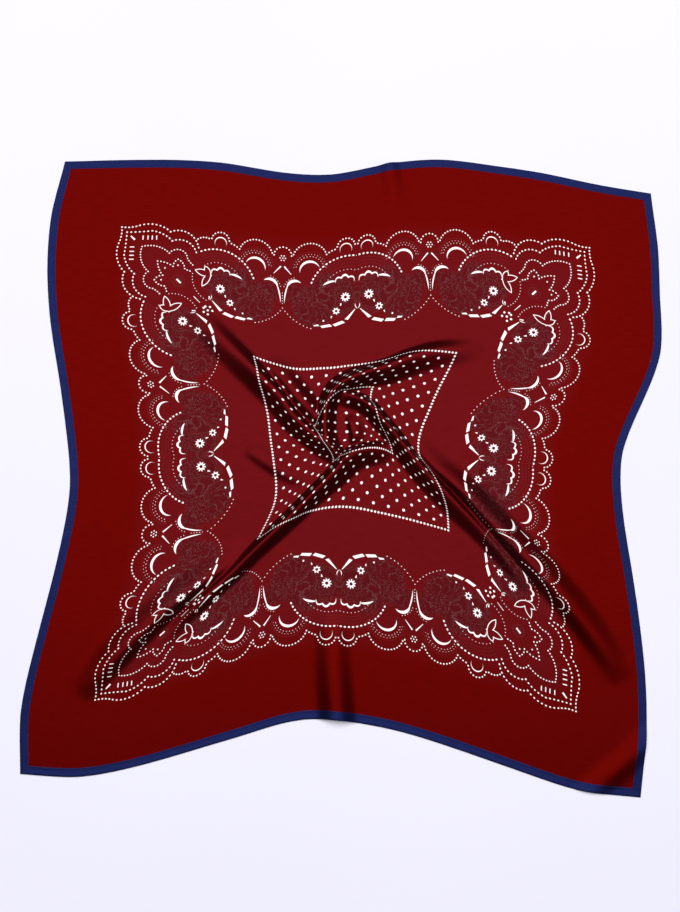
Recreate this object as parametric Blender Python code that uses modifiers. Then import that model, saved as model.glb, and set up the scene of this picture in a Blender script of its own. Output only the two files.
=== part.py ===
"""Silk square scarf, laid out flat with its middle pinched and turned, as solids.

A scarf like this is one square of silk with a narrow turned hem along each side. It lies on a
surface. Its middle is gathered into a low twist, from which soft folds run out to the corners.

A point of the cloth is named by its place on the flat square, across and up from the middle.
lay() says where that point comes to lie. First the whole square is warped smoothly, so that its
rim follows OUTLINE and its marks follow MARKS. Then each fold of FOLDS lifts the cloth along its
crest and draws it in towards the crest, as far as its slopes use it up.

Tables are in millimetres, +X across, +Y up the scarf and +Z off the surface it lies on.
"""

import math

import bmesh
import bpy
import numpy as np

MM = 0.001

SIDE = 900.0  # one side of the square as cut and hemmed
HEM_WIDTH = 12.0
CLOTH = 1.2  # thickness of the single cloth
HEM_CLOTH = 1.6  # thickness where the hem is turned under
SEAM_GAP = 0.4
DOT_PITCH = 21.8  # between the printed dots, which set the size of the two framed squares
OUTER_FRAME = 7 * DOT_PITCH  # half a side of the printed outer frame
INNER_FRAME = 3 * DOT_PITCH
BORDER_TIP = 348.0  # half a side of the square through the tips of the printed border
TAILS = 109.0  # from the middle of a side to where the tails of two paisleys meet
TAIL_ENDS = 246.0  # how far from the scarf's middle they meet
ROSETTE = 318.0  # how far from it the small rosette over them lies
HEADS = 236.5  # how far from it the heads of two paisleys meet, at the middle of a side
FLOWER = (201.0, 257.0)  # the paisley's flower nearest the corner, along the side and out
ELLIPSE = 263.0  # half a side of the square through the corners' ellipses
CORNER_ROSETTE = 221.0

# The rim of the scarf as it lies, one run of points for each side, corner to corner.
OUTLINE = {
    "north": [(-423, 463), (-374, 464), (-293, 466), (-195, 462), (-97, 446), (-32, 442), (14, 450),
              (55, 458), (120, 466), (185, 462), (250, 451), (315, 441), (379, 426), (455, 413)],
    "east": [(455, 413), (462, 345), (463, 245), (460, 163), (452, 141), (423, 76), (399, 16),
             (396, -19), (399, -77), (410, -164), (420, -260), (423, -341), (420, -391), (410, -466)],
    "south": [(410, -466), (380, -462), (312, -454), (228, -425), (126, -391), (58, -371), (7, -363),
              (-42, -358), (-79, -363), (-165, -386), (-266, -416), (-350, -435), (-402, -438),
              (-458, -434)],
    "west": [(-458, -434), (-463, -408), (-460, -348), (-445, -263), (-427, -185), (-409, -98),
             (-401, -31), (-403, 4), (-415, 99), (-434, 196), (-444, 295), (-440, 385), (-431, 446),
             (-423, 463)],
}
# The flat square's corners in the order in which OUTLINE runs round it.
CORNERS = {
    "north": ((-1, 1), (1, 1)),
    "east": ((1, 1), (1, -1)),
    "south": ((1, -1), (-1, -1)),
    "west": ((-1, -1), (-1, 1)),
}
RIM_MARKS = 11  # marks taken from each side of OUTLINE
MIDDLE = (1.56, 0.05)  # the middle of the laid scarf in the tables, which goes to the origin

# Where points of the print lie: across and up on the flat square, then x and y as laid.
MARKS = [
    # tips of the printed border
    (-BORDER_TIP, BORDER_TIP, -335, 361),
    (BORDER_TIP, BORDER_TIP, 361, 329),
    (BORDER_TIP, -BORDER_TIP, 323, -348),
    (-BORDER_TIP, -BORDER_TIP, -356, -332),
    # corners
    (-ELLIPSE, ELLIPSE, -249, 278),
    (ELLIPSE, ELLIPSE, 277, 260),
    (-ELLIPSE, -ELLIPSE, -263, -239),
    (ELLIPSE, -ELLIPSE, 244, -235),
    (-CORNER_ROSETTE, CORNER_ROSETTE, -205, 233),
    (CORNER_ROSETTE, CORNER_ROSETTE, 236, 224),
    # paisleys, north side and on round
    (-FLOWER[0], FLOWER[1], -187, 266),
    (-TAILS, TAIL_ENDS, -95, 242),
    (-TAILS, ROSETTE, -95, 313),
    (0, HEADS, 16, 235),
    (TAILS, TAIL_ENDS, 124, 262),
    (TAILS, ROSETTE, 123, 334),
    (FLOWER[0], FLOWER[1], 217, 263),
    (FLOWER[1], FLOWER[0], 275, 200),
    (TAIL_ENDS, TAILS, 235, 114),
    (ROSETTE, TAILS, 302, 103),
    (HEADS, 0, 190, 14),
    (ROSETTE, -TAILS, 273, -110),
    (FLOWER[0], -FLOWER[1], 186, -210),
    (TAILS, -TAIL_ENDS, 97, -175),
    (TAILS, -ROSETTE, 95, -247),
    (0, -HEADS, -11, -147),
    (-TAILS, -TAIL_ENDS, -122, -170),
    (-TAILS, -ROSETTE, -121, -241),
    (-FLOWER[1], -FLOWER[0], -236, -189),
    (-TAIL_ENDS, -TAILS, -206, -94),
    (-ROSETTE, -TAILS, -278, -97),
    (-HEADS, 0, -192, 20),
    (-TAIL_ENDS, TAILS, -214, 122),
    (-ROSETTE, TAILS, -287, 122),
    (-FLOWER[1], FLOWER[0], -242, 217),
    # outer frame, north side and on round
    (-OUTER_FRAME, OUTER_FRAME, -136, 163),
    (-103, OUTER_FRAME, -88, 147),
    (-53, OUTER_FRAME, -39, 146),
    (-3, OUTER_FRAME, 12, 151),
    (37, OUTER_FRAME, 52, 157),
    (OUTER_FRAME, OUTER_FRAME, 160, 168),
    (OUTER_FRAME, 103, 137, 121),
    (OUTER_FRAME, 53, 116, 74),
    (OUTER_FRAME, -2, 104, 21),
    (OUTER_FRAME, -68, 133, -30),
    (OUTER_FRAME, -OUTER_FRAME, 146, -92),
    (103, -OUTER_FRAME, 97, -78),
    (53, -OUTER_FRAME, 46, -66),
    (8, -OUTER_FRAME, 0, -58),
    (-37, -OUTER_FRAME, -44, -62),
    (-OUTER_FRAME, -OUTER_FRAME, -128, -104),
    (-OUTER_FRAME, -77, -103, -45),
    (-OUTER_FRAME, -32, -105, -1),
    (-OUTER_FRAME, 23, -112, 50),
    (-OUTER_FRAME, 68, -119, 94),
    # inner frame, turned with the twist
    (-INNER_FRAME, INNER_FRAME, -48, 60),
    (0, INNER_FRAME, -20, 103),
    (INNER_FRAME, INNER_FRAME, 38, 118),
    (INNER_FRAME, 0, 46, 69),
    (INNER_FRAME, -INNER_FRAME, 66, 20),
    (0, -INNER_FRAME, 22, 25),
    (-INNER_FRAME, -INNER_FRAME, -20, 8),
    (-INNER_FRAME, 0, -34, 35),
    (0, 0, 7, 58),
]

# Each fold runs out from the middle. A row is a point on its crest, the crest's height there,
# and how far the slopes reach to the left and to the right of it.
FOLDS = {
    "twist_to_north_east": [
        (-9, 12, 10, 14, 14),
        (-20, 25, 12, 14, 16),
        (-28, 38, 14, 15, 18),
        (-32, 52, 15, 16, 19),
        (-32, 68, 16, 16, 19),
        (-31, 81, 16, 16, 18),
        (-28, 95, 17, 16, 18),
        (-17, 114, 17, 17, 18),
        (3, 128, 17, 17, 20),
        (31, 139, 16, 16, 24),
        (61, 148, 15, 16, 29),
        (91, 161, 13, 16, 32),
        (127, 171, 9, 18, 32),
        (160, 174, 5, 20, 28),
        (201, 178, 0, 20, 24),
    ],
    "south_west": [
        (73, 27, 0, 26, 12),
        (51, 28, 7, 28, 12),
        (33, 27, 11, 30, 12),
        (15, 23, 14, 30, 13),
        (2, 15, 15, 30, 13),
        (-20, -9, 15, 26, 12),
        (-51, -41, 14, 20, 12),
        (-84, -75, 12, 18, 13),
        (-127, -116, 11, 16, 13),
        (-165, -154, 9, 15, 13),
        (-204, -190, 7, 14, 12),
        (-235, -220, 4, 14, 12),
        (-263, -256, 0, 14, 12),
    ],
    "south_west_outer": [
        (-136, -115, 0, 15, 30),
        (-170, -141, 5, 15, 34),
        (-220, -177, 9, 16, 38),
        (-267, -216, 11, 18, 40),
        (-313, -260, 10, 19, 40),
        (-352, -300, 6, 20, 34),
        (-372, -330, 0, 20, 30),
    ],
    "south_east_inner": [
        (-7, 108, 6, 10, 22),
        (6, 105, 10, 10, 22),
        (22, 98, 13, 11, 20),
        (38, 86, 15, 11, 20),
        (53, 68, 15, 11, 19),
        (68, 50, 15, 11, 20),
        (84, 29, 15, 11, 22),
        (101, 8, 14, 11, 24),
        (121, -15, 13, 11, 25),
        (160, -57, 11, 12, 24),
        (188, -87, 9, 12, 20),
        (230, -136, 6, 12, 16),
        (262, -180, 0, 12, 16),
    ],
    "south_east_outer": [
        (84, 49, 0, 26, 9),
        (105, 24, 4, 28, 9),
        (128, -2, 7, 30, 10),
        (150, -22, 10, 32, 12),
        (179, -50, 12, 34, 16),
        (218, -94, 13, 36, 19),
        (274, -153, 12, 38, 20),
        (322, -209, 10, 38, 20),
        (363, -265, 6, 34, 20),
        (386, -309, 0, 30, 20),
    ],
    "north_west": [
        (-20, 21, 8, 20, 12),
        (-33, 34, 12, 24, 12),
        (-60, 58, 14, 26, 13),
        (-79, 77, 15, 27, 14),
        (-97, 104, 15, 30, 14),
        (-122, 130, 14, 31, 16),
        (-156, 163, 11, 32, 20),
        (-195, 201, 7, 32, 24),
        (-228, 240, 0, 32, 26),
    ],
    "north_west_inner": [
        (-47, 74, 8, 18, 22),
        (-58, 86, 11, 20, 26),
        (-70, 100, 12, 21, 28),
        (-85, 120, 10, 21, 28),
        (-101, 139, 6, 20, 28),
        (-120, 157, 0, 18, 26),
    ],
    "centre_pocket": [
        (1, 78, 0, 22, 7),
        (5, 64, 5, 24, 7),
        (9, 47, 6, 24, 7),
        (8, 30, 0, 22, 7),
    ],
    "west_crease": [
        (-149, 29, 0, 26, 14),
        (-137, 21, 3, 26, 14),
        (-117, 7, 4, 26, 14),
        (-100, -4, 4, 26, 14),
        (-82, -14, 3, 26, 14),
        (-60, -20, 0, 26, 14),
    ],
    "south_hem": [
        (-22, -190, 0, 30, 30),
        (-21, -240, 6, 32, 32),
        (-19, -290, 9, 33, 33),
        (-15, -340, 11, 33, 34),
        (-13, -375, 11, 33, 34),
    ],
    "south_east_corner": [
        (335, -462, 3, 24, 22),
        (382, -425, 4, 24, 22),
        (430, -382, 3, 24, 22),
    ],
    "north_hem": [
        (76, 365, 0, 24, 24),
        (69, 417, 3, 22, 22),
        (62, 475, 5, 20, 20),
    ],
}
RECOVERY = 55.0  # past a fold's foot, the cloth is back in its place within this distance
CREST_STEPS = 48
SPAN_STEPS = 12  # between two rows of a table, before a run is spaced evenly
EASE = 0.8  # how softly a slope starts and ends to draw the cloth in
FIT_ROUNDS = 5  # rounds in which the warp comes to allow for what the folds draw in
GIVE = 2e-5  # lets the warp miss a mark by a little, so that it stays smooth
TINY = 1e-9

RIM_CELLS = 32  # along each side of the panel and of its hems
HEM_CELLS = 2
FACET_ERROR = 1.6  # a face whose middle lies further than this off the cloth is split
SPLIT_ROUNDS = 2

COLLECTION = "silk_square_scarf"
SILK_RED = (0.155, 0.004, 0.006, 1.0)
HEM_NAVY = (0.008, 0.012, 0.085, 1.0)
SILK_ROUGHNESS = 0.38


def smooth_run(rows, steps):
    """Points on a smooth curve through the rows, evenly spaced along it, with each column eased."""
    rows = np.array(rows, float)
    padded = np.vstack([2 * rows[0] - rows[1], rows, 2 * rows[-1] - rows[-2]])
    fine = []
    for before, start, end, after in zip(padded, padded[1:], padded[2:], padded[3:]):
        t = np.linspace(0, 1, SPAN_STEPS, endpoint=False)[:, None]
        fine.append(0.5 * (2 * start + (end - before) * t
                           + (2 * before - 5 * start + 4 * end - after) * t ** 2
                           + (3 * start - before - 3 * end + after) * t ** 3))
    fine = np.vstack([*fine, rows[-1]])
    length = np.concatenate([[0], np.cumsum(np.hypot(*np.diff(fine[:, :2], axis=0).T))])
    wanted = np.linspace(0, length[-1], steps + 1)
    return np.column_stack([np.interp(wanted, length, column) for column in fine.T])


def all_marks():
    """The marks of the warp: their places on the flat square, and where they lie."""
    flat, laid = [], []
    for side, points in OUTLINE.items():
        start, end = (np.array(corner) * SIDE / 2 for corner in CORNERS[side])
        run = smooth_run(points, RIM_MARKS)
        for step, point in enumerate(run[:-1]):
            flat.append(start + (end - start) * step / RIM_MARKS)
            laid.append(point)
    table = np.array(MARKS)
    return np.vstack([flat, table[:, :2]]), np.vstack([laid, table[:, 2:]])


def bend_term(points, marks):
    """The thin plate's bending term between each point and each mark."""
    square = ((points[:, None, :] - marks[None, :, :]) ** 2).sum(-1) / SIDE ** 2
    return square * np.log(np.maximum(square, TINY))


def beside_crest(places, crest):
    """For each place: the crest's height beside it, the slope's reach there, and the way there."""
    start, step = crest[:-1, :2], np.diff(crest[:, :2], axis=0)
    offset = places[:, None, :] - start[None]
    share = np.clip((offset * step).sum(-1) / (step ** 2).sum(-1), 0, 1)
    apart = offset - share[..., None] * step
    nearest = (apart ** 2).sum(-1).argmin(1)
    pick = np.arange(len(places)), nearest
    along = share[pick][:, None]
    section = crest[nearest] * (1 - along) + crest[nearest + 1] * along
    heading = step[nearest] / np.hypot(*step[nearest].T)[:, None]
    left = np.column_stack([-heading[:, 1], heading[:, 0]])
    far = np.maximum(np.hypot(*apart[pick].T), TINY)
    aside = (apart[pick] * left).sum(-1) / far
    reach = (section[:, 3] * (1 + aside) + section[:, 4] * (1 - aside)) / 2
    return np.maximum(section[:, 2], 0), reach, -apart[pick], far


def draw_in(places, crest):
    """Moves the places towards a crest by the cloth that the fold's slopes use up."""
    height, reach, inward, far = beside_crest(places, crest)
    cloth = np.hypot(reach, height)
    share = np.clip(far / cloth, 0, 1)
    ease = np.minimum(EASE * reach / np.maximum(cloth - reach, TINY), 1)
    taken = (cloth - reach) * (share - ease * np.sin(2 * math.pi * share) / (2 * math.pi))
    past = np.clip((far - cloth) / RECOVERY, 0, 1)
    taken *= 1 - past ** 2 * (3 - 2 * past)
    return places + inward * (taken / far)[:, None]


def lift(places):
    """How far the folds lift the places."""
    total = np.zeros(len(places))
    for crest in CRESTS:
        height, reach, _, far = beside_crest(places, crest)
        total = np.hypot(total, height * np.cos(np.clip(far / reach, 0, 1) * math.pi / 2) ** 2)
    return total


def carry(flat, marks, weights):
    """Where the thin plate carries flat points, and the folds then draw them in."""
    places = np.column_stack([bend_term(flat, marks), np.ones(len(flat)), flat]) @ weights
    for crest in CRESTS:
        places = draw_in(places, crest)
    return places


def fit_plate():
    """The marks and the weights of a thin plate that, drawn in, meets the marks as laid."""
    flat, laid = all_marks()
    count = len(flat)
    system = np.zeros((count + 3, count + 3))
    system[:count, :count] = bend_term(flat, flat) + GIVE * np.eye(count)
    system[:count, count:] = np.column_stack([np.ones(count), flat])
    system[count:, :count] = system[:count, count:].T
    aimed = laid
    for _ in range(FIT_ROUNDS):
        weights = np.linalg.solve(system, np.vstack([aimed, np.zeros((3, 2))]))
        aimed = aimed + laid - carry(flat, flat, weights)
    return flat, weights


CRESTS = [smooth_run(rows, CREST_STEPS) for rows in FOLDS.values()]
PLATE = fit_plate()


def lay(flat):
    """Where points of the flat square lie on their underside, as x, y and z."""
    places = carry(np.array(flat, float), *PLATE)
    return np.column_stack([places - MIDDLE, lift(places)])


def lay_mesh(bm, thickness):
    """Moves a flat mesh's vertices to where the upper side of the cloth lies."""
    verts = list(bm.verts)
    laid = lay([vert.co.xy for vert in verts])
    for vert, place in zip(verts, laid):
        vert.co = (place[0] * MM, place[1] * MM, (place[2] + thickness) * MM)


def split_where_folded(bm):
    """Splits the faces whose middle would lie off the cloth. The rim keeps its own points."""
    for _ in range(SPLIT_ROUNDS):
        faces = list(bm.faces)
        middles = lay([face.calc_center_median().xy for face in faces])
        verts = list(bm.verts)
        bm.verts.index_update()
        corners = lay([vert.co.xy for vert in verts])
        edges = set()
        for face, middle in zip(faces, middles):
            facet = corners[[vert.index for vert in face.verts]].mean(0)
            if np.linalg.norm(facet - middle) > FACET_ERROR:
                edges.update(edge for edge in face.edges if not edge.is_boundary)
        bmesh.ops.subdivide_edges(bm, edges=list(edges), cuts=1, use_grid_fill=True)
    bmesh.ops.triangulate(bm, faces=bm.faces)


def silk(name, colour):
    """A plain silk finish."""
    material = bpy.data.materials.new(name)
    material.use_nodes = True
    shader = material.node_tree.nodes["Principled BSDF"]
    shader.inputs["Base Color"].default_value = colour
    shader.inputs["Roughness"].default_value = SILK_ROUGHNESS
    shader.inputs["Metallic"].default_value = 0.0
    return material


def add_cloth(name, bm, thickness, material, collection):
    """Makes one piece of cloth from its upper side, thickened downwards."""
    mesh = bpy.data.meshes.new(name)
    bm.to_mesh(mesh)
    bm.free()
    mesh.materials.append(material)
    mesh.shade_smooth()
    piece = bpy.data.objects.new(name, mesh)
    collection.objects.link(piece)
    wall = piece.modifiers.new("wall", "SOLIDIFY")
    wall.thickness = thickness * MM
    wall.offset = -1.0
    return piece


def build_panel(material, collection):
    """The square of silk, up to the hem."""
    half = SIDE / 2 - HEM_WIDTH - SEAM_GAP / 2
    bm = bmesh.new()
    bmesh.ops.create_grid(bm, x_segments=RIM_CELLS, y_segments=RIM_CELLS, size=half)
    split_where_folded(bm)
    lay_mesh(bm, CLOTH)
    return add_cloth("panel", bm, CLOTH, material, collection)


def build_hem(side, material, collection):
    """The turned hem along one side, mitred where it meets the next."""
    inner, outer = SIDE / 2 - HEM_WIDTH + SEAM_GAP / 2, SIDE / 2
    start, end = (np.array(corner, float) for corner in CORNERS[side])
    bm = bmesh.new()
    bmesh.ops.create_grid(bm, x_segments=RIM_CELLS, y_segments=HEM_CELLS, size=1)
    for vert in bm.verts:
        out = inner + (outer - inner) * (vert.co.y + 1) / 2
        middle, along = (start + end) / 2, (end - start) / 2
        place = middle * out + along * vert.co.x * (out - SEAM_GAP)
        vert.co = (place[0], place[1], 0)
    bmesh.ops.triangulate(bm, faces=bm.faces)
    bm.normal_update()
    if sum(face.normal.z for face in bm.faces) < 0:
        bmesh.ops.reverse_faces(bm, faces=bm.faces)
    lay_mesh(bm, HEM_CLOTH)
    return add_cloth(f"hem_{side}", bm, HEM_CLOTH, material, collection)


def main():
    """Builds the panel and its four hems."""
    for old in list(bpy.data.objects):
        bpy.data.objects.remove(old, do_unlink=True)
    collection = bpy.data.collections.new(COLLECTION)
    bpy.context.scene.collection.children.link(collection)
    build_panel(silk("silk_red", SILK_RED), collection)
    navy = silk("silk_navy", HEM_NAVY)
    for side in OUTLINE:
        build_hem(side, navy, collection)


main()
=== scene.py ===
"""Looks of a printed silk square that lies flat, its middle pinched and turned.

The cloth is shaped from three tables: the rim as it lies, where marks of its print lie, and the
folds. The print is drawn by shader nodes on the flat square, so it bends with the cloth. All the
tables are in millimetres, +X across, +Y up the scarf and +Z off the surface it lies on.
"""

from __future__ import annotations

import cmath
import logging
import math
from dataclasses import dataclass
from enum import Enum
from typing import Any, Callable, Iterable, Sequence, Union

import bmesh
import bpy
import numpy as np
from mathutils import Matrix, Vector

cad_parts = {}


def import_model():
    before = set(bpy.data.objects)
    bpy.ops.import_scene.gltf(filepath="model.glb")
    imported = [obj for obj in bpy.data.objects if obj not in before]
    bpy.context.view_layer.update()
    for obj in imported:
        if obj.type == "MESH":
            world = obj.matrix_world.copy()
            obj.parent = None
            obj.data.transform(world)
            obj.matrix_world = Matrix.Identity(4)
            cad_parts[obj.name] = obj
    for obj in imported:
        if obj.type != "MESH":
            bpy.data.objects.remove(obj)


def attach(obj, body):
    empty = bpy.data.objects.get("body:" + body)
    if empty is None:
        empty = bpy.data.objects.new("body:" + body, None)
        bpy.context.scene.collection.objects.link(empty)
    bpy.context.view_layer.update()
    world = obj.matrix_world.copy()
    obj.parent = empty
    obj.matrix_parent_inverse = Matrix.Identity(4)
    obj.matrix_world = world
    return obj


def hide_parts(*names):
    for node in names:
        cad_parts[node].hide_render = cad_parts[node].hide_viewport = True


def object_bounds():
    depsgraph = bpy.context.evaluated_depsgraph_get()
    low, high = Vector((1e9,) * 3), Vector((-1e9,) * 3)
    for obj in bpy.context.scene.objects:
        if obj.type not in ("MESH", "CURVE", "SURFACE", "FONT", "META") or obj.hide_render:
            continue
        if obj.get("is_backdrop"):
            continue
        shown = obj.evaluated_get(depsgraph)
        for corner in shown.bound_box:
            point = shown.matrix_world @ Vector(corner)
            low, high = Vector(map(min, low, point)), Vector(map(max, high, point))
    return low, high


MM = 0.001
LOG = logging.getLogger("scarf")
TINY = 1e-9  # keeps a divisor or a logarithm clear of zero
Point = tuple[float, float]
Point3 = tuple[float, float, float]
Colour = tuple[float, float, float, float]
RED: Colour = (0.069, 0.0007, 0.0003, 1)
NAVY: Colour = (0.0064, 0.0096, 0.049, 1)
CLOTH_MAP = "cloth"  # the UV map that holds each point's place on the flat square
SHARP_EDGE = math.radians(70)  # edges that turn more than this aren't shaded smooth

SIDE = 900.0  # one side of the square as cut and hemmed
HEM_WIDTH = 12.0
DOT_PITCH = 21.8  # between the printed dots, which set the size of the two framed squares
OUTER_FRAME = 7 * DOT_PITCH  # half a side of the printed outer frame
INNER_FRAME = 3 * DOT_PITCH
BORDER_TIP = 348.0  # half a side of the square through the tips of the printed border
TAILS = 109.0  # from the middle of a side to where the tails of two paisleys meet
TAIL_ENDS = 246.0  # how far from the scarf's middle they meet
ROSETTE = 318.0  # how far from it the small rosette over them lies
HEADS = 236.5  # how far from it the heads of two paisleys meet, at the middle of a side
FLOWER = (201.0, 257.0)  # the paisley's flower nearest the corner, along the side and out
ELLIPSE = 263.0  # half a side of the square through the corners' ellipses
CORNER_ROSETTE = 221.0


class Side(Enum):
    """A side of the scarf, with the flat square's corners at its start and its end."""

    NORTH = ("north", (-1, 1), (1, 1))
    EAST = ("east", (1, 1), (1, -1))
    SOUTH = ("south", (1, -1), (-1, -1))
    WEST = ("west", (-1, -1), (-1, 1))

    def __init__(self, label: str, start: Point, end: Point) -> None:
        """Keeps the side's name and corners."""
        self.label, self.start, self.end = label, start, end


# The rim of the scarf as it lies, one run of points for each side, corner to corner.
OUTLINE = {
    Side.NORTH: [(-423, 463), (-374, 464), (-293, 466), (-195, 462), (-97, 446), (-32, 442), (14, 450),
                 (55, 458), (120, 466), (185, 462), (250, 451), (315, 441), (379, 426), (455, 413)],
    Side.EAST: [(455, 413), (462, 345), (463, 245), (460, 163), (452, 141), (423, 76), (399, 16),
                (396, -19), (399, -77), (410, -164), (420, -260), (423, -341), (420, -391), (410, -466)],
    Side.SOUTH: [(410, -466), (380, -462), (312, -454), (228, -425), (126, -391), (58, -371),
                 (7, -363), (-42, -358), (-79, -363), (-165, -386), (-266, -416), (-350, -435),
                 (-402, -438), (-458, -434)],
    Side.WEST: [(-458, -434), (-463, -408), (-460, -348), (-445, -263), (-427, -185), (-409, -98),
                (-401, -31), (-403, 4), (-415, 99), (-434, 196), (-444, 295), (-440, 385),
                (-431, 446), (-423, 463)],
}
RIM_MARKS = 11  # marks taken from each side of OUTLINE
MIDDLE = (1.56, 0.05)  # the middle of the laid scarf in the tables, which goes to the origin

# Where points of the print lie: across and up on the flat square, then x and y as laid.
MARKS = [
    # tips of the printed border
    (-BORDER_TIP, BORDER_TIP, -335, 361),
    (BORDER_TIP, BORDER_TIP, 361, 329),
    (BORDER_TIP, -BORDER_TIP, 323, -348),
    (-BORDER_TIP, -BORDER_TIP, -356, -332),
    # corners
    (-ELLIPSE, ELLIPSE, -249, 278),
    (ELLIPSE, ELLIPSE, 277, 260),
    (-ELLIPSE, -ELLIPSE, -263, -239),
    (ELLIPSE, -ELLIPSE, 244, -235),
    (-CORNER_ROSETTE, CORNER_ROSETTE, -205, 233),
    (CORNER_ROSETTE, CORNER_ROSETTE, 236, 224),
    # paisleys, north side and on round
    (-FLOWER[0], FLOWER[1], -187, 266),
    (-TAILS, TAIL_ENDS, -95, 242),
    (-TAILS, ROSETTE, -95, 313),
    (0, HEADS, 16, 235),
    (TAILS, TAIL_ENDS, 124, 262),
    (TAILS, ROSETTE, 123, 334),
    (FLOWER[0], FLOWER[1], 217, 263),
    (FLOWER[1], FLOWER[0], 275, 200),
    (TAIL_ENDS, TAILS, 235, 114),
    (ROSETTE, TAILS, 302, 103),
    (HEADS, 0, 190, 14),
    (ROSETTE, -TAILS, 273, -110),
    (FLOWER[0], -FLOWER[1], 186, -210),
    (TAILS, -TAIL_ENDS, 97, -175),
    (TAILS, -ROSETTE, 95, -247),
    (0, -HEADS, -11, -147),
    (-TAILS, -TAIL_ENDS, -122, -170),
    (-TAILS, -ROSETTE, -121, -241),
    (-FLOWER[1], -FLOWER[0], -236, -189),
    (-TAIL_ENDS, -TAILS, -206, -94),
    (-ROSETTE, -TAILS, -278, -97),
    (-HEADS, 0, -192, 20),
    (-TAIL_ENDS, TAILS, -214, 122),
    (-ROSETTE, TAILS, -287, 122),
    (-FLOWER[1], FLOWER[0], -242, 217),
    # outer frame, north side and on round
    (-OUTER_FRAME, OUTER_FRAME, -136, 163),
    (-103, OUTER_FRAME, -88, 147),
    (-53, OUTER_FRAME, -39, 146),
    (-3, OUTER_FRAME, 12, 151),
    (37, OUTER_FRAME, 52, 157),
    (OUTER_FRAME, OUTER_FRAME, 160, 168),
    (OUTER_FRAME, 103, 137, 121),
    (OUTER_FRAME, 53, 116, 74),
    (OUTER_FRAME, -2, 104, 21),
    (OUTER_FRAME, -68, 133, -30),
    (OUTER_FRAME, -OUTER_FRAME, 146, -92),
    (103, -OUTER_FRAME, 97, -78),
    (53, -OUTER_FRAME, 46, -66),
    (8, -OUTER_FRAME, 0, -58),
    (-37, -OUTER_FRAME, -44, -62),
    (-OUTER_FRAME, -OUTER_FRAME, -128, -104),
    (-OUTER_FRAME, -77, -103, -45),
    (-OUTER_FRAME, -32, -105, -1),
    (-OUTER_FRAME, 23, -112, 50),
    (-OUTER_FRAME, 68, -119, 94),
    # inner frame, turned with the twist
    (-INNER_FRAME, INNER_FRAME, -48, 60),
    (0, INNER_FRAME, -20, 103),
    (INNER_FRAME, INNER_FRAME, 38, 118),
    (INNER_FRAME, 0, 46, 69),
    (INNER_FRAME, -INNER_FRAME, 66, 20),
    (0, -INNER_FRAME, 22, 25),
    (-INNER_FRAME, -INNER_FRAME, -20, 8),
    (-INNER_FRAME, 0, -34, 35),
    (0, 0, 7, 58),
]

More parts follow.
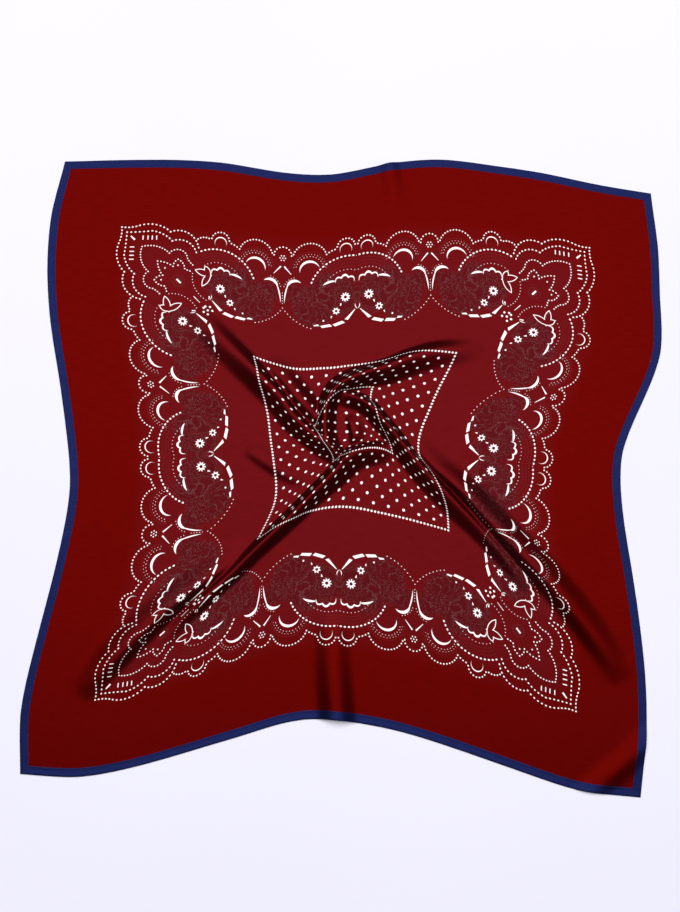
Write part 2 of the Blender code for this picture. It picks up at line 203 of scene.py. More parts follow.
# Each fold runs out from the middle. A row is a point on its crest, the crest's height there,
# and how far the slopes reach to the left and to the right of it.
FOLDS = {
    "twist_to_north_east": [
        (-9, 12, 10, 14, 14),
        (-20, 25, 12, 14, 16),
        (-28, 38, 14, 15, 18),
        (-32, 52, 15, 16, 19),
        (-32, 68, 16, 16, 19),
        (-31, 81, 16, 16, 18),
        (-28, 95, 17, 16, 18),
        (-17, 114, 17, 17, 18),
        (3, 128, 17, 17, 20),
        (31, 139, 16, 16, 24),
        (61, 148, 15, 16, 29),
        (91, 161, 13, 16, 32),
        (127, 171, 9, 18, 32),
        (160, 174, 5, 20, 28),
        (201, 178, 0, 20, 24),
    ],
    "south_west": [
        (73, 27, 0, 26, 12),
        (51, 28, 7, 28, 12),
        (33, 27, 11, 30, 12),
        (15, 23, 14, 30, 13),
        (2, 15, 15, 30, 13),
        (-20, -9, 15, 26, 12),
        (-51, -41, 14, 20, 12),
        (-84, -75, 12, 18, 13),
        (-127, -116, 11, 16, 13),
        (-165, -154, 9, 15, 13),
        (-204, -190, 7, 14, 12),
        (-235, -220, 4, 14, 12),
        (-263, -256, 0, 14, 12),
    ],
    "south_west_outer": [
        (-136, -115, 0, 15, 30),
        (-170, -141, 5, 15, 34),
        (-220, -177, 9, 16, 38),
        (-267, -216, 11, 18, 40),
        (-313, -260, 10, 19, 40),
        (-352, -300, 6, 20, 34),
        (-372, -330, 0, 20, 30),
    ],
    "south_east_inner": [
        (-7, 108, 6, 10, 22),
        (6, 105, 10, 10, 22),
        (22, 98, 13, 11, 20),
        (38, 86, 15, 11, 20),
        (53, 68, 15, 11, 19),
        (68, 50, 15, 11, 20),
        (84, 29, 15, 11, 22),
        (101, 8, 14, 11, 24),
        (121, -15, 13, 11, 25),
        (160, -57, 11, 12, 24),
        (188, -87, 9, 12, 20),
        (230, -136, 6, 12, 16),
        (262, -180, 0, 12, 16),
    ],
    "south_east_outer": [
        (84, 49, 0, 26, 9),
        (105, 24, 4, 28, 9),
        (128, -2, 7, 30, 10),
        (150, -22, 10, 32, 12),
        (179, -50, 12, 34, 16),
        (218, -94, 13, 36, 19),
        (274, -153, 12, 38, 20),
        (322, -209, 10, 38, 20),
        (363, -265, 6, 34, 20),
        (386, -309, 0, 30, 20),
    ],
    "north_west": [
        (-20, 21, 8, 20, 12),
        (-33, 34, 12, 24, 12),
        (-60, 58, 14, 26, 13),
        (-79, 77, 15, 27, 14),
        (-97, 104, 15, 30, 14),
        (-122, 130, 14, 31, 16),
        (-156, 163, 11, 32, 20),
        (-195, 201, 7, 32, 24),
        (-228, 240, 0, 32, 26),
    ],
    "north_west_inner": [
        (-47, 74, 8, 18, 22),
        (-58, 86, 11, 20, 26),
        (-70, 100, 12, 21, 28),
        (-85, 120, 10, 21, 28),
        (-101, 139, 6, 20, 28),
        (-120, 157, 0, 18, 26),
    ],
    "centre_pocket": [
        (1, 78, 0, 22, 7),
        (5, 64, 5, 24, 7),
        (9, 47, 6, 24, 7),
        (8, 30, 0, 22, 7),
    ],
    "west_crease": [
        (-149, 29, 0, 26, 14),
        (-137, 21, 3, 26, 14),
        (-117, 7, 4, 26, 14),
        (-100, -4, 4, 26, 14),
        (-82, -14, 3, 26, 14),
        (-60, -20, 0, 26, 14),
    ],
    "south_hem": [
        (-22, -190, 0, 30, 30),
        (-21, -240, 6, 32, 32),
        (-19, -290, 9, 33, 33),
        (-15, -340, 11, 33, 34),
        (-13, -375, 11, 33, 34),
    ],
    "south_east_corner": [
        (335, -462, 3, 24, 22),
        (382, -425, 4, 24, 22),
        (430, -382, 3, 24, 22),
    ],
    "north_hem": [
        (76, 365, 0, 24, 24),
        (69, 417, 3, 22, 22),
        (62, 475, 5, 20, 20),
    ],
}


def smooth_run(rows: Sequence[Sequence[float]], steps: int, span_steps: int = 12) -> np.ndarray:
    """Runs a smooth curve through the rows of a table.

    Args:
        rows: the table, whose first two columns are a place.
        steps: how many equal steps the run is cut into.
        span_steps: steps between two rows before the run is spaced evenly.

    Returns:
        The points of the run, with every column eased along it.
    """
    table = np.array(rows, float)
    padded = np.vstack([2 * table[0] - table[1], table, 2 * table[-1] - table[-2]])
    t = np.linspace(0, 1, span_steps, endpoint=False)[:, None]
    fine = []
    for before, start, end, after in zip(padded, padded[1:], padded[2:], padded[3:]):
        fine.append(0.5 * (2 * start + (end - before) * t
                           + (2 * before - 5 * start + 4 * end - after) * t ** 2
                           + (3 * start - before - 3 * end + after) * t ** 3))
    joined = np.vstack([*fine, table[-1]])
    length = np.concatenate([[0], np.cumsum(np.hypot(*np.diff(joined[:, :2], axis=0).T))])
    wanted = np.linspace(0, length[-1], steps + 1)
    return np.column_stack([np.interp(wanted, length, column) for column in joined.T])


@dataclass
class Fold:
    """One fold: a crest, and a slope on each side that draws the cloth in towards it.

    Attributes:
        rows: the fold's table.
        ease: how softly a slope starts and ends to draw the cloth in.
        recovery: past the fold's foot, the cloth is back in its place within this distance.
        crest_steps: pieces that the crest is cut into.
    """

    rows: Sequence[Sequence[float]]
    ease: float = 0.8
    recovery: float = 55.0
    crest_steps: int = 120

    def __post_init__(self) -> None:
        """Smooths the crest."""
        self.crest = smooth_run(self.rows, self.crest_steps)

    def beside(self, places: np.ndarray) -> tuple[np.ndarray, np.ndarray, np.ndarray, np.ndarray]:
        """Finds the crest from each place.

        Args:
            places: points on the surface that the scarf lies on.

        Returns:
            For each place, the crest's height beside it, the slope's reach there, the way to the
            crest and its length.
        """
        start, step = self.crest[:-1, :2], np.diff(self.crest[:, :2], axis=0)
        offset = places[:, None, :] - start[None]
        share = np.clip((offset * step).sum(-1) / (step ** 2).sum(-1), 0, 1)
        apart = offset - share[..., None] * step
        nearest = (apart ** 2).sum(-1).argmin(1)
        pick = np.arange(len(places)), nearest
        along = share[pick][:, None]
        section = self.crest[nearest] * (1 - along) + self.crest[nearest + 1] * along
        heading = step[nearest] / np.hypot(*step[nearest].T)[:, None]
        left = np.column_stack([-heading[:, 1], heading[:, 0]])
        far = np.maximum(np.hypot(*apart[pick].T), TINY)
        aside = (apart[pick] * left).sum(-1) / far
        reach = (section[:, 3] * (1 + aside) + section[:, 4] * (1 - aside)) / 2
        return np.maximum(section[:, 2], 0), reach, -apart[pick], far

    def draw_in(self, places: np.ndarray) -> np.ndarray:
        """Moves places towards the crest by the cloth that the slopes use up.

        Args:
            places: points on the surface that the scarf lies on.

        Returns:
            Where they come to lie.
        """
        height, reach, inward, far = self.beside(places)
        cloth = np.hypot(reach, height)
        share = np.clip(far / cloth, 0, 1)
        ease = np.minimum(self.ease * reach / np.maximum(cloth - reach, TINY), 1)
        taken = (cloth - reach) * (share - ease * np.sin(2 * math.pi * share) / (2 * math.pi))
        past = np.clip((far - cloth) / self.recovery, 0, 1)
        taken *= 1 - past ** 2 * (3 - 2 * past)
        return places + inward * (taken / far)[:, None]

    def lift(self, places: np.ndarray) -> np.ndarray:
        """Returns how far the fold lifts the places."""
        height, reach, _, far = self.beside(places)
        return height * np.cos(np.clip(far / reach, 0, 1) * math.pi / 2) ** 2


class LaidCloth:
    """The form in which the square lies.

    A thin plate carries the flat square's rim and marks to where they lie, and allows for what
    the folds then draw in.
    """

    GIVE = 2e-5  # lets the plate miss a mark by a little, so that it stays smooth
    FIT_ROUNDS = 5  # rounds in which the plate comes to allow for the folds

    def __init__(self) -> None:
        """Collects the folds and the marks, and works out the plate's weights."""
        self.folds = [Fold(rows) for rows in FOLDS.values()]
        self.marks, laid = self.collect()
        count = len(self.marks)
        system = np.zeros((count + 3, count + 3))
        system[:count, :count] = self.bend(self.marks) + self.GIVE * np.eye(count)
        system[:count, count:] = np.column_stack([np.ones(count), self.marks])
        system[count:, :count] = system[:count, count:].T
        aimed = laid
        for _ in range(self.FIT_ROUNDS):
            self.weights = np.linalg.solve(system, np.vstack([aimed, np.zeros((3, 2))]))
            aimed = aimed + laid - self.carry(self.marks)

    @staticmethod
    def collect() -> tuple[np.ndarray, np.ndarray]:
        """Collects the rim's stations and the marks of the print.

        Returns:
            Their places on the flat square, and where they lie.
        """
        flat, laid = [], []
        for side, points in OUTLINE.items():
            start, end = np.array(side.start) * SIDE / 2, np.array(side.end) * SIDE / 2
            for step, point in enumerate(smooth_run(points, RIM_MARKS)[:-1]):
                flat.append(start + (end - start) * step / RIM_MARKS)
                laid.append(point)
        table = np.array(MARKS)
        return np.vstack([flat, table[:, :2]]), np.vstack([laid, table[:, 2:]])

    def bend(self, flat: np.ndarray) -> np.ndarray:
        """Returns the plate's bending term between each of the flat points and each mark."""
        square = ((flat[:, None, :] - self.marks[None, :, :]) ** 2).sum(-1) / SIDE ** 2
        return square * np.log(np.maximum(square, TINY))

    def carry(self, flat: np.ndarray) -> np.ndarray:
        """Carries flat points with the plate, and draws them in to the folds.

        Args:
            flat: points of the flat square.

        Returns:
            Where they come to lie.
        """
        places = np.column_stack([self.bend(flat), np.ones(len(flat)), flat]) @ self.weights
        for fold in self.folds:
            places = fold.draw_in(places)
        return places

    def lay(self, flat: np.ndarray) -> np.ndarray:
        """Lays flat points on the surface and lifts them with the folds.

        Args:
            flat: points of the flat square.

        Returns:
            Where they lie on the cloth's underside, as x, y and z.
        """
        places = self.carry(flat)
        lifts = [fold.lift(places) for fold in self.folds]
        return np.column_stack([places - MIDDLE, np.linalg.norm(lifts, axis=0)])


Value = Union["Ink", float]


class Ink:
    """A number that changes over the cloth: the output of a shader node, used in formulas."""

    def __init__(self, sheet: Formula, socket: bpy.types.NodeSocket) -> None:
        """Keeps the tree and the socket that the number comes from."""
        self.sheet, self.socket = sheet, socket

    def __add__(self, other: Value) -> Ink:
        """Returns the sum."""
        return self.sheet.calc("ADD", self, other)

    def __radd__(self, other: Value) -> Ink:
        """Returns the sum."""
        return self.sheet.calc("ADD", other, self)

    def __sub__(self, other: Value) -> Ink:
        """Returns the difference."""
        return self.sheet.calc("SUBTRACT", self, other)

    def __rsub__(self, other: Value) -> Ink:
        """Returns the difference."""
        return self.sheet.calc("SUBTRACT", other, self)

    def __mul__(self, other: Value) -> Ink:
        """Returns the product."""
        return self.sheet.calc("MULTIPLY", self, other)

    def __rmul__(self, other: Value) -> Ink:
        """Returns the product."""
        return self.sheet.calc("MULTIPLY", other, self)

    def __truediv__(self, other: Value) -> Ink:
        """Returns the quotient."""
        return self.sheet.calc("DIVIDE", self, other)

    def __rtruediv__(self, other: Value) -> Ink:
        """Returns the quotient."""
        return self.sheet.calc("DIVIDE", other, self)

    def __abs__(self) -> Ink:
        """Returns the size without its sign."""
        return self.sheet.calc("ABSOLUTE", self)


class Formula:
    """Writes formulas into a node tree."""

    EDGE = 0.35  # how far, in millimetres, a printed edge fades

    def __init__(self, tree: bpy.types.NodeTree) -> None:
        """Keeps the tree that the nodes go into."""
        self.tree = tree

    def add(self, kind: str, **settings: Any) -> bpy.types.Node:
        """Adds a node.

        Args:
            kind: its type.
            **settings: its settings, by name.

        Returns:
            The node.
        """
        node = self.tree.nodes.new(kind)
        for name, value in settings.items():
            setattr(node, name, value)
        return node

    def plug(self, socket: bpy.types.NodeSocket, value: Any) -> None:
        """Joins a value to a socket, or sets it there if it is a plain number or colour.

        Args:
            socket: the socket that takes it.
            value: an ink, a socket, or a plain number or colour.
        """
        if isinstance(value, Ink):
            self.tree.links.new(value.socket, socket)
        elif isinstance(value, bpy.types.NodeSocket):
            self.tree.links.new(value, socket)
        else:
            socket.default_value = value

    def calc(self, operation: str, *values: Value, clamp: bool = False) -> Ink:
        """Adds a Math node.

        Args:
            operation: what it works out.
            *values: what it works on.
            clamp: whether its output is kept between 0 and 1.

        Returns:
            Its output.
        """
        node = self.add("ShaderNodeMath", operation=operation, use_clamp=clamp)
        for socket, value in zip(node.inputs, values):
            self.plug(socket, value)
        return Ink(self, node.outputs[0])

    def length(self, across: Value, up: Value) -> Ink:
        """Measures a line.

        Args:
            across: its extent across.
            up: its extent up.

        Returns:
            Its length.
        """
        joined = self.add("ShaderNodeCombineXYZ")
        self.plug(joined.inputs["X"], across)
        self.plug(joined.inputs["Y"], up)
        measured = self.add("ShaderNodeVectorMath", operation="LENGTH")
        self.plug(measured.inputs[0], joined.outputs[0])
        return Ink(self, measured.outputs["Value"])

    def least(self, first: Value, second: Value) -> Ink:
        """Returns the smaller of two values."""
        return self.calc("MINIMUM", first, second)

    def most(self, first: Value, second: Value) -> Ink:
        """Returns the larger of two values."""
        return self.calc("MAXIMUM", first, second)

    def limit(self, value: Value, reach: Value) -> Ink:
        """Returns the value, kept between minus and plus the reach."""
        return self.most(self.least(value, reach), 0.0 - reach)

    def turn_about(self, across: Value, up: Value, middle: Value, half: Value = math.pi) -> Ink:
        """Returns the angle of a direction past the middle one, wrapped at half a sector."""
        angle = self.calc("ARCTAN2", up, across) - middle
        return self.calc("WRAP", angle, half, 0.0 - half)

    def cover(self, depth: Value) -> Ink:
        """Returns 1 inside a printed shape and 0 outside it, from the depth inside its edge."""
        return self.calc("MULTIPLY_ADD", depth, 1 / self.EDGE, 0.5, clamp=True)

    def place(self, group: bpy.types.NodeTree, **values: Value) -> Ink:
        """Places a group.

        Args:
            group: the group.
            **values: its inputs, by name, in small letters with _ for a space.

        Returns:
            Its first output.
        """
        node = self.add("ShaderNodeGroup", node_tree=group)
        for name, value in values.items():
            self.plug(node.inputs[name.replace("_", " ").capitalize()], value)
        return Ink(self, node.outputs[0])


Shape = Callable[..., Ink]


def group_of(name: str, inputs: Sequence[str], output: str, shape: Shape) -> bpy.types.NodeTree:
    """Makes a node group from a formula.

    Args:
        name: the group's name.
        inputs: the names of its inputs, in the order in which the formula takes them.
        output: the name of its output.
        shape: the formula.

    Returns:
        The group.
    """
    tree = bpy.data.node_groups.new(name, "ShaderNodeTree")
    for label in inputs:
        tree.interface.new_socket(label, in_out="INPUT", socket_type="NodeSocketFloat")
    tree.interface.new_socket(output, in_out="OUTPUT", socket_type="NodeSocketFloat")
    sheet = Formula(tree)
    given = sheet.add("NodeGroupInput")
    made = shape(sheet, *(Ink(sheet, given.outputs[label]) for label in inputs))
    sheet.plug(sheet.add("NodeGroupOutput").inputs[output], made)
    return tree


def dotted_line(sheet: Formula, x: Ink, y: Ink, cx: Ink, cy: Ink, radius: Ink, middle: Ink,
                gaps: Ink, pitch: Ink, size: Ink, long: Ink) -> Ink:
    """Draws dots along part of a circle, each a little longer than it is wide.

    Args:
        sheet: the tree that they are drawn in.
        x: the place in the print, across.
        y: the place in the print, up.
        cx: the circle's middle, across.
        cy: the circle's middle, up.
        radius: its radius.
        middle: the angle at the middle of the line.
        gaps: how many gaps there are between the dots.
        pitch: how far apart the dots lie.
        size: half a dot's width.
        long: how much longer than wide half a dot is.

    Returns:
        The ink.
    """
    dx, dy = x - cx, y - cy
    along = sheet.turn_about(dx, dy, middle) * radius
    odd_one = sheet.calc("FRACT", gaps * 0.5)  # an odd number of gaps has no dot in the middle
    nearest = sheet.limit(sheet.calc("ROUND", along / pitch - odd_one) + odd_one, gaps * 0.5)
    past = sheet.most(abs(along - nearest * pitch) - long, 0.0)
    return sheet.cover(size - sheet.length(sheet.length(dx, dy) - radius, past))


def crescent(sheet: Formula, x: Ink, y: Ink, cx: Ink, cy: Ink, radius: Ink, bite_x: Ink,
             bite_y: Ink, bite: Ink) -> Ink:
    """Draws a disc with a round bite out of it.

    Args:
        sheet: the tree that it is drawn in.
        x: the place in the print, across.
        y: the place in the print, up.
        cx: the disc's middle, across.
        cy: the disc's middle, up.
        radius: its radius.
        bite_x: the bite's middle, across.
        bite_y: the bite's middle, up.
        bite: the bite's radius.

    Returns:
        The ink.
    """
    inside = radius - sheet.length(x - cx, y - cy)
    return sheet.cover(sheet.least(inside, sheet.length(x - bite_x, y - bite_y) - bite))


def stroke(sheet: Formula, x: Ink, y: Ink, from_x: Ink, from_y: Ink, to_x: Ink, to_y: Ink,
           first: Ink, last: Ink, slant: Ink) -> Ink:
    """Draws a straight stroke with slanted ends.

    Args:
        sheet: the tree that it is drawn in.
        x: the place in the print, across.
        y: the place in the print, up.
        from_x: the stroke's start, across.
        from_y: the stroke's start, up.
        to_x: its end, across.
        to_y: its end, up.
        first: half its width at its start.
        last: half its width at its end.
        slant: how far its ends lean.

    Returns:
        The ink.
    """
    run_x, run_y, dx, dy = to_x - from_x, to_y - from_y, x - from_x, y - from_y
    length = sheet.length(run_x, run_y)
    side = (dy * run_x - dx * run_y) / length
    along = (dx * run_x + dy * run_y) / length + side * slant
    width = first + along / length * (last - first)
    return sheet.cover(sheet.least(sheet.least(along, length - along), width - abs(side)))


def wavy_crescent(sheet: Formula, x: Ink, y: Ink, cx: Ink, cy: Ink, radius: Ink, middle: Ink,
                  half: Ink, waves: Ink, depth: Ink, width: Ink) -> Ink:
    """Draws a scalloped arc that narrows to both of its ends.

    Args:
        sheet: the tree that it is drawn in.
        x: the place in the print, across.
        y: the place in the print, up.
        cx: the arc's middle, across.
        cy: the arc's middle, up.
        radius: its radius where two scallops meet.
        middle: the angle at its middle.
        half: half the angle that it spans.
        waves: how closely its scallops lie.
        depth: how far they stand out.
        width: half its width at its middle.

    Returns:
        The ink.
    """
    dx, dy = x - cx, y - cy
    turn = sheet.turn_about(dx, dy, middle)
    share = turn / half
    path = abs(sheet.calc("COSINE", turn * waves)) * depth + radius
    return sheet.cover(width * (1.0 - share * share) - abs(sheet.length(dx, dy) - path))


def flower(sheet: Formula, x: Ink, y: Ink, cx: Ink, cy: Ink, petals: Ink, reach: Ink, slim: Ink,
           eye: Ink, turned: Ink) -> Ink:
    """Draws a ring of pointed petals round an open eye.

    Args:
        sheet: the tree that it is drawn in.
        x: the place in the print, across.
        y: the place in the print, up.
        cx: the flower's middle, across.
        cy: the flower's middle, up.
        petals: how many petals it has.
        reach: how far they reach.
        slim: half a petal's width.
        eye: the eye's radius.
        turned: the angle of the first petal.

    Returns:
        The ink.
    """
    petal_middle, petal_half = 0.55, 0.45  # shares of the reach
    dx, dy = x - cx, y - cy
    radius = sheet.length(dx, dy)
    turn = sheet.turn_about(dx, dy, turned, math.pi / petals)
    out = (radius * sheet.calc("COSINE", turn) - reach * petal_middle) / (reach * petal_half)
    side = abs(radius * sheet.calc("SINE", turn))
    return sheet.cover(sheet.least((1.0 - out * out) * slim - side, radius - eye))


def leaf(sheet: Formula, x: Ink, y: Ink, cx: Ink, cy: Ink, turned: Ink, half: Ink,
         belly: Ink) -> Ink:
    """Draws a leaf that is pointed at both ends.

    Args:
        sheet: the tree that it is drawn in.
        x: the place in the print, across.
        y: the place in the print, up.
        cx: the leaf's middle, across.
        cy: the leaf's middle, up.
        turned: the angle of its length.
        half: half its length.
        belly: half its width.

    Returns:
        The depth inside its edge.
    """
    dx, dy = x - cx, y - cy
    cosine, sine = sheet.calc("COSINE", turned), sheet.calc("SINE", turned)
    back = (half * half - belly * belly) / (belly * 2.0)
    off = sheet.length(dx * cosine + dy * sine, abs(dy * cosine - dx * sine) + back)
    return back + belly - off


def rosette(sheet: Formula, x: Ink, y: Ink, cx: Ink, cy: Ink, ring: Ink, size: Ink) -> Ink:
    """Draws six dots round a seventh.

    Args:
        sheet: the tree that they are drawn in.
        x: the place in the print, across.
        y: the place in the print, up.
        cx: the seventh dot, across.
        cy: the seventh dot, up.
        ring: how far the others lie from it.
        size: a dot's radius.

    Returns:
        The ink.
    """
    dx, dy = x - cx, y - cy
    radius = sheet.length(dx, dy)
    turn = sheet.turn_about(dx, dy, 0.0, math.pi / 6)
    off = sheet.length(radius * sheet.calc("COSINE", turn) - ring, radius * sheet.calc("SINE", turn))
    return sheet.cover(size - sheet.least(off, radius))


def dotted_rings(sheet: Formula, x: Ink, y: Ink, cx: Ink, cy: Ink, gap: Ink, pitch: Ink, size: Ink,
                 reach: Ink) -> Ink:
    """Draws dotted rings round a point, one inside the next.

    Args:
        sheet: the tree that they are drawn in.
        x: the place in the print, across.
        y: the place in the print, up.
        cx: the rings' middle, across.
        cy: the rings' middle, up.
        gap: how far apart the rings lie.
        pitch: about how far apart a ring's dots lie.
        size: a dot's radius.
        reach: how far the rings reach.

    Returns:
        The ink.
    """
    dx, dy = x - cx, y - cy
    radius = sheet.length(dx, dy)
    ring = sheet.most(sheet.calc("ROUND", radius / gap), 1.0) * gap
    count = sheet.calc("ROUND", ring * (2 * math.pi) / pitch)
    share = sheet.calc("ARCTAN2", dy, dx) * count / (2 * math.pi)
    along = (share - sheet.calc("ROUND", share)) * pitch
    inside = sheet.cover(size - sheet.length(radius - ring, along))
    return inside * sheet.cover(reach - radius)


SCROLL_SCALE = 0.55  # of the noise whose contours the scrolls follow
SCROLL_CURL = 0.6  # how much that noise is bent
SCROLL_CONTOURS = 9.0
SCROLL_EDGE = 8.0  # how sharp a scroll's edge is
STIPPLE_SCALE = 7.0
STIPPLE_CONTRAST = 9.0
STIPPLE_LEVEL = -4.2


def scrolls(sheet: Formula, x: Ink, y: Ink, gap: Ink, thin: Ink) -> Ink:
    """Draws fine stippled lines that curl, about half a gap apart.

    Args:
        sheet: the tree that they are drawn in.
        x: the place in the print, across.
        y: the place in the print, up.
        gap: the size of the curls.
        thin: half a line's width, as a share of the way between two lines.

    Returns:
        The ink.
    """
    joined = sheet.add("ShaderNodeCombineXYZ")
    sheet.plug(joined.inputs["X"], x / gap)
    sheet.plug(joined.inputs["Y"], y / gap)
    noise = sheet.add("ShaderNodeTexNoise", noise_dimensions="2D")
    sheet.plug(noise.inputs["Vector"], joined.outputs[0])
    noise.inputs["Scale"].default_value = SCROLL_SCALE
    noise.inputs["Detail"].default_value = 1.0
    noise.inputs["Distortion"].default_value = SCROLL_CURL
    level = sheet.calc("FRACT", Ink(sheet, noise.outputs["Fac"]) * SCROLL_CONTOURS)
    line = sheet.calc("MULTIPLY_ADD", thin - abs(level - 0.5), SCROLL_EDGE, 0.5, clamp=True)
    grain = sheet.add("ShaderNodeTexNoise", noise_dimensions="2D")
    sheet.plug(grain.inputs["Vector"], joined.outputs[0])
    grain.inputs["Scale"].default_value = STIPPLE_SCALE
    grain.inputs["Detail"].default_value = 0.0
    speck = Ink(sheet, grain.outputs["Fac"])
    stipple = sheet.calc("MULTIPLY_ADD", speck, STIPPLE_CONTRAST, STIPPLE_LEVEL, clamp=True)
    return line * stipple


class Motifs:
    """The printed shapes, each a node group that is placed many times."""

    AT = ("X", "Y", "Cx", "Cy")

    def __init__(self) -> None:
        """Builds the groups."""
        self.dotted_line = self.centred(
            dotted_line, "Radius", "Middle", "Gaps", "Pitch", "Size", "Long"
        )
        self.crescent = self.centred(crescent, "Radius", "Bite x", "Bite y", "Bite")
        self.wavy_crescent = self.centred(
            wavy_crescent, "Radius", "Middle", "Half", "Waves", "Depth", "Width"
        )
        self.flower = self.centred(flower, "Petals", "Reach", "Slim", "Eye", "Turned")
        self.leaf = self.centred(leaf, "Turned", "Half", "Belly")
        self.rosette = self.centred(rosette, "Ring", "Size")
        self.dotted_rings = self.centred(dotted_rings, "Gap", "Pitch", "Size", "Reach")
        self.scrolls = group_of("scrolls", ("X", "Y", "Gap", "Thin"), "Ink", scrolls)
        ends = ("X", "Y", "From x", "From y", "To x", "To y", "First", "Last", "Slant")
        self.stroke = group_of("stroke", ends, "Ink", stroke)

    def centred(self, shape: Shape, *sizes: str) -> bpy.types.NodeTree:
        """Returns the group of a shape that is placed by its centre."""
        return group_of(shape.__name__, (*self.AT, *sizes), "Ink", shape)


def circle_through(start: Point, over: Point, end: Point) -> tuple[complex, float]:
    """Finds the circle through three points.

    Args:
        start: the first point.
        over: the second.
        end: the third.

    Returns:
        Its centre and its radius.
    """
    first, second, third = (complex(*point) for point in (start, over, end))
    ratio = (third - first) / (second - first)
    centre = first + (second - first) * (ratio - abs(ratio) ** 2) / (2j * ratio.imag)
    return centre, abs(first - centre)


@dataclass(frozen=True)
class Lune:
    """A crescent of the print, between two arcs that meet at its start and its end."""

    start: Point
    outer: Point
    inner: Point
    end: Point

    def values(self) -> dict[str, float]:
        """Works out the two circles.

        Returns:
            The inputs of the crescent's group.
        """
        centre, radius = circle_through(self.start, self.outer, self.end)
        bitten, bite = circle_through(self.start, self.inner, self.end)
        return {"cx": centre.real, "cy": centre.imag, "radius": radius, "bite_x": bitten.real,
                "bite_y": bitten.imag, "bite": bite}


@dataclass(frozen=True)
class DottedLine:
    """A dotted line of the print, part of a circle.

    Attributes:
        start: where its first dot lies.
        over: a point on its way.
        end: where its last dot lies.
        pitch: about how far apart its dots lie.
        size: half a dot's width.
        long: how much longer than wide half a dot is.
    """

    start: Point
    over: Point
    end: Point
    pitch: float = 6.0
    size: float = 1.18
    long: float = 0.5

    def values(self) -> dict[str, float]:
        """Works out the circle through the three points, and the dots' places on it.

        Returns:
            The inputs of the dotted line's group.
        """
        centre, radius = circle_through(self.start, self.over, self.end)
        first, second, third = (
            cmath.phase(complex(*point) - centre) for point in (self.start, self.over, self.end)
        )
        sweep = (third - first) % math.tau
        if (second - first) % math.tau > sweep:
            sweep -= math.tau
        gaps = max(round(abs(sweep) * radius / self.pitch), 1)
        return {
            "cx": centre.real, "cy": centre.imag, "radius": radius, "middle": first + sweep / 2,
            "gaps": gaps, "pitch": abs(sweep) * radius / gaps, "size": self.size, "long": self.long,
        }


@dataclass(frozen=True)
class Stroke:
    """A straight stroke of the print, whose half width runs from first to last."""

    from_x: float
    from_y: float
    to_x: float
    to_y: float
    first: float
    last: float
    slant: float = 0.0


@dataclass(frozen=True)
class Rings:
    """Fine dotted rings round a point, a gap apart, as far as they reach."""

    cx: float
    cy: float
    reach: float
    gap: float = 5.2
    pitch: float = 3.2
    size: float = 0.62


# The sizes of the print's dots: pitch, half width, and how much longer than wide half a dot is.
SCALLOP_DOTS = (4.55, 0.98, 0.1)
BACK_DOTS = (5.9, 1.05, 0.5)
RIM_DOTS = (5.7, 0.9, 0.4)
STAR_DOTS = (4.4, 0.85, 0.2)
FINE_DOTS = (4.5, 0.56, 0.0)
FAINT_DOTS = (3.7, 0.5, 0.0)

# A paisley with its share of the scalloped edge. Across runs from the line where two paisleys'
# tails meet to the line where their heads meet, and up is the distance from the scarf's middle.
PAISLEY_LINES = [
    DottedLine((0, 335), (9.2, 331.2), (13, 322), *SCALLOP_DOTS),
    DottedLine((15.8, 324.4), (41, 341.8), (64.7, 323.7), *SCALLOP_DOTS),
    DottedLine((68.6, 326.4), (72.6, 328.6), (77.2, 330.2), *SCALLOP_DOTS),
    DottedLine((80.5, 333.8), (92.5, 345.4), (106.9, 334.7), *SCALLOP_DOTS),
    DottedLine((110.9, 334), (118, 335), (127.4, 331.5), *SCALLOP_DOTS),
    DottedLine((42.9, 281.6), (80, 316), (121.4, 313.1), *BACK_DOTS),
]
PAISLEY_FINE_LINES = [
    DottedLine((64, 280.3), (90, 297.6), (116, 291.2), 5.2, 0.58, 0.0),
    DottedLine((17.2, 288.6), (9, 284.2), (2.6, 274.2), *FINE_DOTS),
    DottedLine((0, 264), (0.1, 256), (0, 248), *FINE_DOTS),
    DottedLine((40.9, 211), (18, 222), (0, 240.6), 5.8, 0.62, 0.2),
    DottedLine((20.3, 305.5), (40.5, 321.6), (60.7, 305.5), *FINE_DOTS),
    DottedLine((17, 304.5), (40.5, 325), (64, 304.5), 4.5, 0.42, 0.0),
]
PAISLEY_LUNES = [
    Lune((25.7, 297), (39.6, 315.5), (40, 312.2), (54.1, 305)),
    Lune((84.8, 326.3), (93.3, 338.3), (93.3, 336.8), (101.8, 326.3)),
    Lune((27.2, 281), (16.8, 285.8), (17.0, 281.8), (7, 272)),
    Lune((10, 281), (4.5, 268), (6.1, 267.4), (2.8, 249)),
    Lune((59.4, 276.8), (69.5, 283.2), (70, 280.2), (79, 282)),
    Lune((106, 245.8), (106.4, 240), (107.2, 240.5), (108.9, 238)),
]
PAISLEY_FAINT_LINES = [
    DottedLine((13.6, 304), (40.5, 328.6), (67.4, 304), *FAINT_DOTS),
    DottedLine((56, 268), (74, 297.5), (113, 298.9), *FAINT_DOTS),
    DottedLine((51, 272), (71.5, 301.3), (116, 302.9), *FAINT_DOTS),
    DottedLine((47, 277), (69, 305.3), (119, 306.9), *FAINT_DOTS),
    DottedLine((30, 270), (33, 248), (52, 226), *FAINT_DOTS),
    DottedLine((36, 274), (40, 250), (58, 232), *FAINT_DOTS),
    DottedLine((76, 268), (92, 273.5), (105, 262), *FAINT_DOTS),
]
